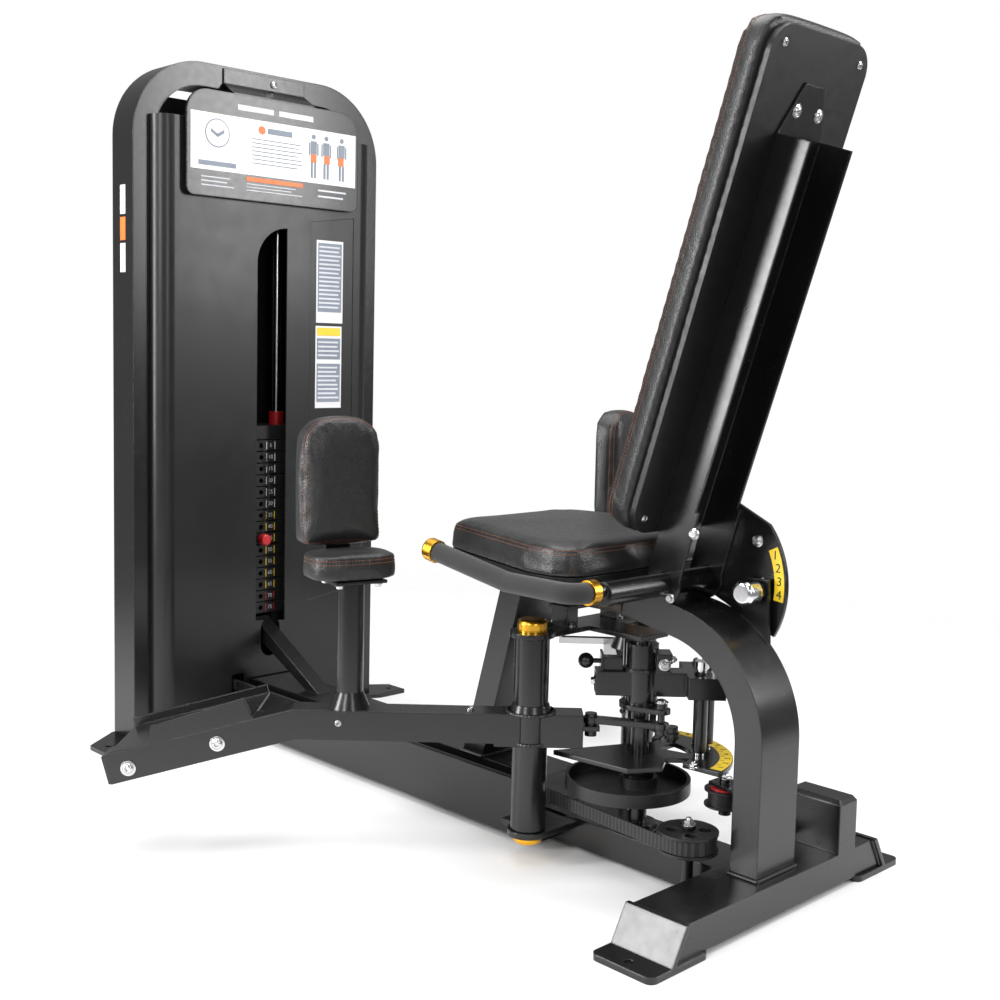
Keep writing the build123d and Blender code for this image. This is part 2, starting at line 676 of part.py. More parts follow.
# ------------------------------------------------------------- side hand grips
grip_x = -265.0
grip_z = HINGE_Z + 6
grip_turn = 28.0
collar_x = grip_x + grip_turn + 9
elbow_a = (grip_x + grip_turn, HINGE_Y, grip_z)
elbow_b = (grip_x, HINGE_Y + grip_turn, grip_z)
bend_a = (grip_x, 304, grip_z)
front_a = (grip_x, 466, HINGE_Z + 33)
with BuildPart() as left_handle_bar:
    with BuildLine() as bar_path:
        Line((-HINGE_HALF + 2, HINGE_Y, grip_z), elbow_a)
        TangentArc(elbow_a, elbow_b, tangent=(-1, 0, 0))
        Polyline(elbow_b, bend_a, front_a)
    with BuildSketch(Plane.YZ.offset(-HINGE_HALF + 2)):
        with Locations((HINGE_Y, grip_z)):
            Circle(11)
    sweep(path=bar_path.line, transition=Transition.ROUND)

with BuildPart() as left_grip:
    with BuildLine() as grip_path:
        TangentArc(elbow_a, elbow_b, tangent=(-1, 0, 0))
        Polyline(elbow_b, bend_a, front_a)
    with BuildSketch(Plane.YZ.offset(grip_x + grip_turn)):
        with Locations((HINGE_Y, grip_z)):
            Circle(16)
            Circle(11.6, mode=Mode.SUBTRACT)
    sweep(path=grip_path.line, transition=Transition.ROUND)

tilt = math.degrees(math.atan2(27, 162))
with BuildPart() as grip_collars:
    for side in (-1, 1):
        rod_x(side * collar_x - 8, side * collar_x + 8, HINGE_Y, grip_z, 19)
        rod_x(side * collar_x - 9, side * collar_x + 9, HINGE_Y, grip_z, 11, Mode.SUBTRACT)
        with Locations(Location((side * grip_x, 466 + 11.1, HINGE_Z + 34.8), (tilt - 90, 0, 0))):
            Cylinder(19, 22)
    fillet(grip_collars.edges().group_by(Axis.Y)[-1], 5)
save(grip_collars, "grip_collars")

# ---------------------------------------------------------------- leg bearings
arm_a = math.radians(ARM_ANGLE)
arm_dir = (math.cos(arm_a), math.sin(arm_a), 0)
arm_plane = Plane(origin=(*ARM_PIVOT, 0), x_dir=arm_dir, z_dir=(0, 0, 1))
# Vertical plane through the arm: x along the arm, y up, z towards the machine's middle
arm_side = Plane(
    origin=(*ARM_PIVOT, 0), x_dir=arm_dir, z_dir=(math.sin(arm_a), -math.cos(arm_a), 0)
)

with BuildPart() as bearing_bridge:
    with BuildSketch(Plane.XY.offset(HUB_Z1 + 1)):
        with Locations((0, ARM_PIVOT[1])):
            Rectangle(-2 * ARM_PIVOT[0], 64)
        with Locations((ARM_PIVOT[0], ARM_PIVOT[1]), (-ARM_PIVOT[0], ARM_PIVOT[1])):
            Circle(38)
        with Locations((0, DRIVE_Y + 40)):
            Rectangle(70, 130)
    extrude(amount=PLATE)
    for x in (-62, 62):
        block(x - 13, x + 13, 350, 386, HUB_Z1 + 1 + PLATE, rail_z0 - 6)
    block(-80, 80, 346, 390, rail_z0 - 6, rail_z0)
    for x in (ARM_PIVOT[0], -ARM_PIVOT[0]):
        rod_z(x, ARM_PIVOT[1], HUB_Z1, HUB_Z1 + 20, SHAFT_R, Mode.SUBTRACT)
    rod_z(POST_X, DRIVE_Y, HUB_Z1, HUB_Z1 + 20, DRIVE_R, Mode.SUBTRACT)

lower_z1 = HUB_Z0 - 1
with BuildPart() as lower_bearing_plates:
    with BuildSketch(Plane.XY.offset(lower_z1 - 10)):
        for side in (-1, 1):
            with Locations((side * 140, ARM_PIVOT[1])):
                Circle(34)
            with Locations((side * (BEAM_HALF + 140) / 2, ARM_PIVOT[1] + 14)):
                Rectangle(140 - BEAM_HALF, 96)
    extrude(amount=10)
    for x in (ARM_PIVOT[0], -ARM_PIVOT[0]):
        rod_z(x, ARM_PIVOT[1], 30, lower_z1 + 10, SHAFT_R, Mode.SUBTRACT)
    block(GUARD_X - 2, GUARD_X + 6, 388, 440, 30, lower_z1 + 10, Mode.SUBTRACT)

with BuildPart() as left_pivot_shaft:
    rod_z(*ARM_PIVOT, lower_z1 - 10, HUB_Z1 + 1 + PLATE, SHAFT_R)

with BuildPart() as pivot_caps:
    for x in (ARM_PIVOT[0], -ARM_PIVOT[0]):
        rod_z(x, ARM_PIVOT[1], HUB_Z1 + 1 + PLATE, HUB_Z1 + 30, 25)
        rod_z(x, ARM_PIVOT[1], lower_z1 - 24, lower_z1 - 10, 25)
    fillet(pivot_caps.edges().group_by(Axis.Z)[-1], 8)
    fillet(pivot_caps.edges().group_by(Axis.Z)[0], 8)
save(pivot_caps, "pivot_caps")

# ---------------------------------------------------------------- leg arms
with BuildPart() as left_pivot_tube:
    rod_z(*ARM_PIVOT, HUB_Z0, HUB_Z1, HUB_R)
    rod_z(*ARM_PIVOT, HUB_Z0 - 1, HUB_Z1 + 1, SHAFT_R + GAP, Mode.SUBTRACT)
save(left_pivot_tube, "left_pivot_tube")
save_mirror(left_pivot_tube, "right_pivot_tube")


def arm_profile(h):
    # Side outline of the bent arm, h above and below its centre line
    t = math.radians(ARM_DROP)
    end_x = ARM_BEND + ARM_FOOT * math.cos(t)
    end_z = ARM_Z - ARM_FOOT * math.sin(t)
    Polygon(
        (ARM_REAR, ARM_Z - h), (ARM_BEND - h * math.tan(t / 2), ARM_Z - h),
        (end_x - h * math.sin(t), end_z - h * math.cos(t)),
        (end_x + h * math.sin(t), end_z + h * math.cos(t)),
        (ARM_BEND + h * math.tan(t / 2), ARM_Z + h), (ARM_REAR, ARM_Z + h), align=None,
    )


foot_t = math.radians(ARM_DROP)
with BuildPart() as left_arm_tube:
    with BuildSketch(arm_side):
        arm_profile(ARM_H)
    extrude(amount=ARM_H, both=True)
    with BuildSketch(arm_side):
        arm_profile(ARM_H - WALL)
    extrude(amount=ARM_H - WALL, both=True, mode=Mode.SUBTRACT)
    rod_z(*ARM_PIVOT, HUB_Z0, HUB_Z1, HUB_R, Mode.SUBTRACT)

with BuildPart(arm_plane) as left_arm_saddle:
    block(ARM_REAR, 60, -ARM_H, ARM_H, ARM_Z - ARM_H - 5, ARM_Z - ARM_H)
    with Locations((0, 0, ARM_Z + ARM_H + 7)):
        Cone(35, 31, 14)
    rod_z(0, 0, HUB_Z0, HUB_Z1, HUB_R, Mode.SUBTRACT)
    block(ARM_REAR - 28, ARM_REAR + 4, -14, 14, ARM_Z - 4, ARM_Z + 4)
    rod_z(ARM_REAR - 14, 0, ARM_Z - 5, ARM_Z + 5, 6 + GAP, Mode.SUBTRACT)
    block(ARM_REAR, ARM_REAR + 4, -21, 21, ARM_Z - 21, ARM_Z + 21)

with BuildPart(arm_plane) as left_knee_post:
    rod_z(KNEE_S, 0, ARM_Z + ARM_H, KNEE_PLATE_Z - 1, KNEE_POST_R)
    with Locations((KNEE_S, 0, ARM_Z + ARM_H + 14)):
        Cone(34, KNEE_POST_R, 28)
    rod_z(KNEE_S, 0, ARM_Z + ARM_H - 1, KNEE_PLATE_Z, 15 + GAP, Mode.SUBTRACT)

# Foot rest: tread on the inner side of the sloped foot section with a raised rim
tread = (60.0, 305.0)


def foot_poly(points):
    # Points along the sloped section (from the bend) and square to it
    c, s = math.cos(foot_t), math.sin(foot_t)
    placed = [(ARM_BEND + a * c + b * s, ARM_Z - a * s + b * c) for a, b in points]
    Polygon(*placed, align=None)


with BuildPart() as left_foot_rest:
    with BuildSketch(arm_side.offset(-ARM_H)):
        foot_poly([
            (tread[0], ARM_H), (tread[1], ARM_H), (tread[1], ARM_H + 4), (tread[0], ARM_H + 4),
        ])
    extrude(amount=2 * ARM_H + 105)
    with BuildSketch(arm_side.offset(-ARM_H)):
        foot_poly([(62, ARM_H + 4), (240, ARM_H + 4), (228, ARM_H + 30), (66, ARM_H + 38)])
    extrude(amount=4)
    with BuildSketch(arm_side.offset(ARM_H + 101)):
        foot_poly([
            (tread[0], ARM_H + 4), (tread[1], ARM_H + 4), (tread[1], ARM_H + 20),
            (tread[0], ARM_H + 20),
        ])
    extrude(amount=4)
save(left_foot_rest, "left_foot_rest")
save_mirror(left_foot_rest, "right_foot_rest")

with BuildPart() as left_arm_end_cap:
    with BuildSketch(arm_side):
        foot_poly([
            (ARM_FOOT, 1 - ARM_H), (ARM_FOOT + 4, 1 - ARM_H),
            (ARM_FOOT + 4, ARM_H - 1), (ARM_FOOT, ARM_H - 1),
        ])
    extrude(amount=ARM_H - 1, both=True)

# Knee cushions turn on the post; local -y faces the user
knee_origin = arm_plane.from_local_coords(Vector(KNEE_S, 0, 0))
knee_a = math.radians(KNEE_TURN)
knee_plane = Plane(
    origin=knee_origin, x_dir=(math.cos(knee_a), math.sin(knee_a), 0), z_dir=(0, 0, 1)
)
knee_side = Plane(
    origin=knee_origin, x_dir=(math.cos(knee_a), math.sin(knee_a), 0),
    z_dir=(math.sin(knee_a), -math.cos(knee_a), 0),
)
with BuildPart(knee_plane) as left_knee_bracket:
    rod_z(0, 0, ARM_Z + ARM_H + 20, KNEE_PLATE_Z, 15)
    block(-45, 45, -44, 63, KNEE_PLATE_Z, KNEE_PLATE_Z + 5)
    block(-22, 22, 58, 63, KNEE_PLATE_Z, KNEE_PAD_TOP - 70)
with BuildPart() as left_knee_rest:
    with BuildSketch(knee_plane.offset(REST_Z0)):
        with Locations((-5, -3)):
            RectangleRounded(156, 108, 34)
    extrude(amount=REST_Z1 - REST_Z0)
    fillet(left_knee_rest.faces().sort_by(Axis.Z)[-1].edges(), 9)
with BuildPart() as left_knee_pad:
    with BuildSketch(knee_side.offset(-57)):
        with BuildLine():
            Polyline((-83, REST_Z1 + 2), (65, REST_Z1 + 2), (65, KNEE_PAD_TOP - 36))
            ThreePointArc((65, KNEE_PAD_TOP - 36), (45, KNEE_PAD_TOP - 12), (30, KNEE_PAD_TOP - 5))
            ThreePointArc((30, KNEE_PAD_TOP - 5), (-9, KNEE_PAD_TOP), (-48, KNEE_PAD_TOP - 5))
            ThreePointArc((-48, KNEE_PAD_TOP - 5), (-63, KNEE_PAD_TOP - 12), (-83, KNEE_PAD_TOP - 36))
            Line((-83, KNEE_PAD_TOP - 36), (-83, REST_Z1 + 2))
        make_face()
    extrude(amount=50)
with BuildPart() as left_rest_spacer:
    with BuildSketch(knee_plane.offset(KNEE_PLATE_Z + 5)):
        Rectangle(80, 70)
    extrude(amount=REST_Z0 - KNEE_PLATE_Z - 5)

# ---------------------------------------------------------------- centre drive
with BuildPart() as drive_post:
    rod_z(POST_X, DRIVE_Y, CROSS_TOP, HUB_Z1 + 1 + PLATE, DRIVE_R)
    rod_z(POST_X, DRIVE_Y, CROSS_TOP, CROSS_TOP + 10, 32)

lever_a = math.radians(LEVER_ANGLE)
lever_plane = Plane(
    origin=(POST_X, DRIVE_Y, 0), x_dir=(math.cos(lever_a), math.sin(lever_a), 0), z_dir=(0, 0, 1)
)
pin_a = (98.0, -12.0)
pin_b = (118.0, 42.0)
lever_z0 = 288.0
lever_z1 = 328.0
with BuildPart(lever_plane) as crank:
    block(-78, 72, -20, 20, lever_z0, lever_z1)
    block(-78, 73, -17, 17, lever_z0 + WALL, lever_z1 - WALL, Mode.SUBTRACT)
    block(72, 134, -46, 76, lever_z0 + 2, lever_z1 - 2)
    block(72 + WALL, 134 - WALL, -46 + WALL, 76 - WALL, lever_z0 + 5, lever_z1 - 5, Mode.SUBTRACT)
    rod_z(0, 0, 262, 374, DRIVE_HUB_R)
    rod_z(0, 0, lever_z1, lever_z1 + 6, DRIVE_HUB_R + 5)
    block(20, 46, -34, 8, lever_z1, lever_z1 + 34)
    block(34, 47, -35, -6, lever_z1 + 6, lever_z1 + 26, Mode.SUBTRACT)
    rod_z(0, 0, 200, 400, DRIVE_R + GAP, Mode.SUBTRACT)
    for x, y in (pin_a, pin_b):
        rod_z(x, y, RANGE_Z0 + RANGE_T + 6, lever_z1 + 2, 12)
        rod_z(x, y, RANGE_Z0, lever_z1 + 19, 9 + GAP, Mode.SUBTRACT)

# Lug under the levers that takes the link's rod end
lug_x, lug_y = -8.0, -50.0
with BuildPart() as crank_lug:
    with BuildSketch(Plane.XY.offset(266)):
        with Locations((POST_X + lug_x, DRIVE_Y + lug_y)):
            Circle(15)
        with Locations((POST_X, DRIVE_Y)):
            Circle(DRIVE_HUB_R + 10)
            Circle(DRIVE_HUB_R, mode=Mode.SUBTRACT)
        with BuildLine():
            Polyline(
                (POST_X - 34, DRIVE_Y - 14), (POST_X + lug_x - 15, DRIVE_Y + lug_y),
                (POST_X + lug_x + 15, DRIVE_Y + lug_y), (POST_X + 34, DRIVE_Y - 14),
                (POST_X, DRIVE_Y - DRIVE_HUB_R), close=True,
            )
        make_face()
        with Locations((POST_X, DRIVE_Y)):
            Circle(DRIVE_HUB_R, mode=Mode.SUBTRACT)
    extrude(amount=8)
    rod_z(POST_X + lug_x, DRIVE_Y + lug_y, 260, 280, 6, Mode.SUBTRACT)
with BuildPart() as crank_bolt:
    rod_z(POST_X + lug_x, DRIVE_Y + lug_y, 251, 274, 6)
    rod_z(POST_X + lug_x, DRIVE_Y + lug_y, 274, 284, 10)

with BuildPart(lever_plane) as pop_pin_a:
    rod_z(*pin_a, RANGE_Z0 + 1, lever_z1 + 8, 9)
    rod_z(*pin_a, lever_z1 + 8, lever_z1 + 20, 12)
save(pop_pin_a, "pop_pin_a")
with BuildPart(lever_plane) as pop_pin_b:
    rod_z(*pin_b, RANGE_Z0 + 1, lever_z1 + 8, 9)
    rod_z(*pin_b, lever_z1 + 8, lever_z1 + 20, 12)
save(pop_pin_b, "pop_pin_b")

# Release bar lying on lever one, with its ball knob
with BuildPart(lever_plane) as release_bar:
    block(-66, -34, -12, 12, lever_z1, lever_z1 + 22)
    block(-70, -66, -17, 17, lever_z1, lever_z1 + 30)
    rod_x(-84, -70, 0, lever_z1 + 14, 4)
with BuildPart(lever_plane) as release_knob:
    with Locations((-94, 0, lever_z1 + 14)):
        Sphere(13)
    rod_x(-84, -70, 0, lever_z1 + 14, 4, Mode.SUBTRACT)

# Range plate: fan wing on the left, ring arc with the set holes on the right
with BuildPart() as range_plate:
    with BuildSketch(Plane.XY.offset(RANGE_Z0)):
        with BuildLine():
            Polyline(
                (POST_X - 104, DRIVE_Y + 100), (POST_X - 87, DRIVE_Y - 47),
                (POST_X - 36, DRIVE_Y - 78), (POST_X + 7, DRIVE_Y - 51),
                (POST_X + 52, DRIVE_Y - 95), (POST_X + 62, DRIVE_Y - 85),
                (POST_X + 40, DRIVE_Y), (POST_X + 30, DRIVE_Y + 40), close=True,
            )
        make_face()
        with Locations((POST_X, DRIVE_Y)):
            Circle(38)
    extrude(amount=RANGE_T)
    with BuildSketch(Plane.XY.offset(RANGE_Z0)):
        with Locations((POST_X, DRIVE_Y)):
            Circle(155)
            Circle(86, mode=Mode.SUBTRACT)
        with BuildLine():
            Polyline(
                (POST_X, DRIVE_Y), (POST_X + 24, DRIVE_Y - 300), (POST_X + 400, DRIVE_Y - 300),
                (POST_X + 400, DRIVE_Y + 190), close=True,
            )
        make_face(mode=Mode.INTERSECT)
    extrude(amount=RANGE_T)
    block(POST_X + 20, POST_X + 94, DRIVE_Y - 6, DRIVE_Y + 24, RANGE_Z0, RANGE_Z0 + RANGE_T)
    rod_z(POST_X, DRIVE_Y, CAM_Z1, RANGE_Z0, DRIVE_HUB_R - 2)
    rod_z(POST_X, DRIVE_Y, 90, 250, DRIVE_R + GAP, Mode.SUBTRACT)
    with Locations(lever_plane * Location((*pin_a, 180)), lever_plane * Location((*pin_b, 180))):
        Cylinder(9.4, 60, mode=Mode.SUBTRACT)
save(range_plate, "range_plate")
with BuildPart() as cam_pulley:
    with BuildSketch(Plane.XY.offset(CAM_Z0)):
        with Locations((POST_X - 14, DRIVE_Y + 12)):
            Circle(CAM_R)
        with Locations((POST_X - 14 + CAM_R, DRIVE_Y + 12 + CAM_R)):
            Rectangle(110, 110, rotation=45, mode=Mode.SUBTRACT)
    extrude(amount=CAM_Z1 - CAM_Z0)
    with BuildSketch(Plane.XY.offset(CAM_Z0 + 5)):
        with Locations((POST_X - 14, DRIVE_Y + 12)):
            Circle(CAM_R - 6)
        with Locations((POST_X - 14 + CAM_R, DRIVE_Y + 12 + CAM_R)):
            Rectangle(124, 124, rotation=45, mode=Mode.SUBTRACT)
    extrude(amount=CAM_Z1, mode=Mode.SUBTRACT)
    rod_z(POST_X, DRIVE_Y, CAM_Z0 - 14, CAM_Z1, DRIVE_HUB_R + 4)
    rod_z(POST_X, DRIVE_Y, 90, 250, DRIVE_R + GAP, Mode.SUBTRACT)
save(cam_pulley, "cam_pulley")

# Bar from the post foot to the back post; it carries the idler with the red hub
with BuildPart() as idler_bar:
    with BuildSketch(Plane.XY.offset(CAM_Z1 + 8)):
        with BuildLine():
            Polyline((10, 21), (44, 21), (74, 90), (66, 128), (34, 128), (24, 84), close=True)
        make_face()
    extrude(amount=5)
    rod_z(*IDLER, 60, 190, 7, Mode.SUBTRACT)
with BuildPart() as idler_axle:
    rod_z(*IDLER, CAM_Z0 - 12, CAM_Z1 + 13, 7)
    rod_z(*IDLER, CAM_Z1 + 13, CAM_Z1 + 20, 10)
    rod_z(*IDLER, CAM_Z0 - 18, CAM_Z0 - 12, 10)
with BuildPart() as idler_pulley:
    rod_z(*IDLER, CAM_Z0, CAM_Z1, IDLER_R - 6)
    rod_z(*IDLER, CAM_Z0 - 3, CAM_Z0, IDLER_R)
    rod_z(*IDLER, CAM_Z1, CAM_Z1 + 3, IDLER_R)
    rod_z(*IDLER, CAM_Z0 - 5, CAM_Z1 + 5, 7 + GAP, Mode.SUBTRACT)
save(idler_pulley, "idler_pulley")

with BuildPart() as drum_stand:
    rod_z(*DRUM, FLOOR_Z, BELT_Z0 - 7, 9)
    rod_z(*DRUM, BELT_Z0 - 7, BELT_Z1 + 7, 7)
    rod_z(*DRUM, BELT_Z1 + 7, BELT_Z1 + 12, 11)
    block(DRUM[0] - 20, -BEAM_HALF, DRUM[1] - 20, DRUM[1] + 20, FLOOR_Z, FLOOR_Z + 6)
with BuildPart() as drum_pulley:
    rod_z(*DRUM, BELT_Z0, BELT_Z1, DRUM_R)
    rod_z(*DRUM, BELT_Z0 - 4, BELT_Z0, DRUM_R + 5)
    rod_z(*DRUM, BELT_Z1, BELT_Z1 + 4, DRUM_R + 5)
    with Locations((DRUM[0], DRUM[1], BELT_Z1 + 2)):
        with PolarLocations(26, 4, start_angle=45):
            Cylinder(10, 30, mode=Mode.SUBTRACT)
    rod_z(*DRUM, 60, 140, 7 + GAP, Mode.SUBTRACT)
save(drum_pulley, "drum_pulley")

# Belt: around the drum, along the left side, into the tower
run_x = DRUM[0] - DRUM_R - GAP
in_x = -88.0
with BuildPart() as belt_run:
    with BuildSketch(Plane.XY.offset(BELT_Z0 + 1)):
        with BuildLine():
            Polyline(
                (run_x, DRUM[1]), (run_x - BELT_T, DRUM[1]), (in_x - BELT_T, 400),
                (in_x - BELT_T, 1342), (in_x, 1342), (in_x, 400), close=True,
            )
        make_face()
        with Locations(DRUM):
            Circle(DRUM_R + GAP, mode=Mode.SUBTRACT)
    extrude(amount=BELT_Z1 - BELT_Z0 - 2)
with BuildPart() as belt_wrap:
    with BuildSketch(Plane.XY.offset(BELT_Z0 + 1)):
        with Locations(DRUM):
            Circle(DRUM_R + GAP + BELT_T)
            Circle(DRUM_R + GAP, mode=Mode.SUBTRACT)
        with Locations((DRUM[0], DRUM[1] + 60)):
            Rectangle(120, 120, mode=Mode.SUBTRACT)
    extrude(amount=BELT_Z1 - BELT_Z0 - 2)
# Links from the arm tails to the middle
tail = arm_plane.from_local_coords(Vector(ARM_REAR - 14, 0, 0))


def link_blank(x0, y0, x1, y1, z0, z1):
    # Flat bar with a round eye at each end
    mid = ((x0 + x1) / 2, (y0 + y1) / 2)
    span = math.hypot(x1 - x0, y1 - y0)
    turn_deg = math.degrees(math.atan2(y1 - y0, x1 - x0))
    with Locations(Location((*mid, (z0 + z1) / 2), (0, 0, turn_deg))):
        Box(span, 18, z1 - z0)
    rod_z(x0, y0, z0, z1, 13)
    rod_z(x1, y1, z0, z1, 13)
    rod_z(x0, y0, z0 - 1, z1 + 1, 6 + GAP, Mode.SUBTRACT)


lug_at = (POST_X + lug_x, DRIVE_Y + lug_y)
with BuildPart() as left_link:
    link_blank(tail.X, tail.Y, *lug_at, 240, 250)
    rod_z(*lug_at, 230, 240, 10)
    rod_z(tail.X, tail.Y, ARM_Z + 4 + GAP, 256, 10)
    rod_z(tail.X, tail.Y, 220, 256, 6)
    rod_z(tail.X, tail.Y, 218, ARM_Z - 4 - GAP, 10)
save(left_link, "left_link")
far_end = (POST_X + 40, DRIVE_Y - 35)
with BuildPart() as right_link:
    link_blank(-tail.X, tail.Y, *far_end, 212, 222)
    rod_z(-tail.X, tail.Y, 208, ARM_Z - 4 - GAP, 10)
    rod_z(-tail.X, tail.Y, 208, 244, 6)
    rod_z(-tail.X, tail.Y, ARM_Z + 4 + GAP, 244, 10)
    rod_z(*far_end, 206, 212, 9)
    rod_z(*far_end, 222, 232, 11)
save(right_link, "right_link")

# ------------------------------------------------- welded and bolted assemblies
groups = {
    "rear_crossbar": (rear_crossbar, stub_post, stub_cap),
    "main_beam": (main_beam, tower_brace),
    "tower_base": (tower_base, tower_feet),
    "tower_crossmembers": (tower_crown, stack_base, pulley_bracket),
    "placard": (placard, placard_bracket),
    "lift_strap": (strap_riser, strap_top),
    "back_post": (back_post, pin_bracket),
    "seat_frame": (seat_rail, rail_joint_plate, seat_leg, seat_brackets),
    "bearing_plates": (bearing_bridge, lower_bearing_plates),
    "pulley_stands": (idler_bar, idler_axle, drum_stand),
    "drive_belt": (belt_run, belt_wrap),
    "crank": (crank, crank_lug, crank_bolt),
    "release_bar": (release_bar, release_knob),
    "left_arm": (left_arm_tube, left_arm_saddle, left_knee_post, left_arm_end_cap),
    "left_knee_bracket": (left_knee_bracket, left_rest_spacer),
    "left_knee_cushions": (left_knee_rest, left_knee_pad),
}
for name, pieces in groups.items():
    with BuildPart() as joined:
        for piece in pieces:
            add(piece.part)
    save(joined, name)
    if name.startswith("left_"):
        save_mirror(joined, name.replace("left_", "right_"))

# Pairs that stay on the frame, both sides in one node
pairs = {
    "pivot_shafts": left_pivot_shaft,
    "handle_bars": left_handle_bar,
    "hand_grips": left_grip,
}
for name, piece in pairs.items():
    with BuildPart() as both_sides:
        add(piece.part)
        mirror(piece.part, about=Plane.YZ)
        if name == "pivot_shafts":
            add(drive_post.part)
        if name == "handle_bars":
            add(hinge_tube.part)
    save(both_sides, name)
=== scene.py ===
import json
import math

import bmesh
import bpy
import numpy as np
from mathutils import Matrix, Vector
from mathutils.bvhtree import BVHTree
from mathutils.kdtree import KDTree


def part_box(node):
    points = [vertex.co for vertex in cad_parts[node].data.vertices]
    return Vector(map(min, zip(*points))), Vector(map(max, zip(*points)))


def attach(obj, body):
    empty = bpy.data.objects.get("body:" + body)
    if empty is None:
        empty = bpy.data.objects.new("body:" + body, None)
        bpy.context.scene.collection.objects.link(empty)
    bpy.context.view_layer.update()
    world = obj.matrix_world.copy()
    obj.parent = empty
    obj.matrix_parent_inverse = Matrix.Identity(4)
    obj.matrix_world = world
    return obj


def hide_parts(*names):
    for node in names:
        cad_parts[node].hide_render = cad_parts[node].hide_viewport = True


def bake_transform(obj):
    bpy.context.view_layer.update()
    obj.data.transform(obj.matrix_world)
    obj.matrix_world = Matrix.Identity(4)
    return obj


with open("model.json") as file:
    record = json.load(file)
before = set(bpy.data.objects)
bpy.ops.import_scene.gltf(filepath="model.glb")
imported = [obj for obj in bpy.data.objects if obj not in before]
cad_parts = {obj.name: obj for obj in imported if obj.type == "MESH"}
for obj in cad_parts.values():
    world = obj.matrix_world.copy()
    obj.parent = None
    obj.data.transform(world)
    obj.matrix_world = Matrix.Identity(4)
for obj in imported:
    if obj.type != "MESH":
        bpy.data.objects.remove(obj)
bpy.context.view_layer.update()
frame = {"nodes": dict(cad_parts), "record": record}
scene = bpy.context.scene
FRAME_BODY = "machine_frame"

# ------------------------------------------------------------------ materials


def node(tree, kind, props=None, **inputs):
    # One shader node; inputs are constants or sockets
    made = tree.nodes.new("ShaderNode" + kind)
    for key, value in (props or {}).items():
        setattr(made, key, value)
    for key, value in inputs.items():
        socket = made.inputs[key.replace("_", " ")]
        if isinstance(value, bpy.types.NodeSocket):
            tree.links.new(value, socket)
        else:
            socket.default_value = value
    return made


def mix(tree, factor, a, b):
    # Colour mix; a and b are RGB triples or sockets
    made = tree.nodes.new("ShaderNodeMix")
    made.data_type = "RGBA"
    for index, value in ((0, factor), (6, a), (7, b)):
        if isinstance(value, bpy.types.NodeSocket):
            tree.links.new(value, made.inputs[index])
        elif index == 0:
            made.inputs[0].default_value = value
        else:
            made.inputs[index].default_value = (*value, 1.0)
    return made.outputs[2]


def ramp(tree, value, low, high, to_low, to_high):
    # Clamped remap of a value
    made = tree.nodes.new("ShaderNodeMapRange")
    tree.links.new(value, made.inputs[0])
    for index, number in ((1, low), (2, high), (3, to_low), (4, to_high)):
        made.inputs[index].default_value = number
    return made.outputs[0]


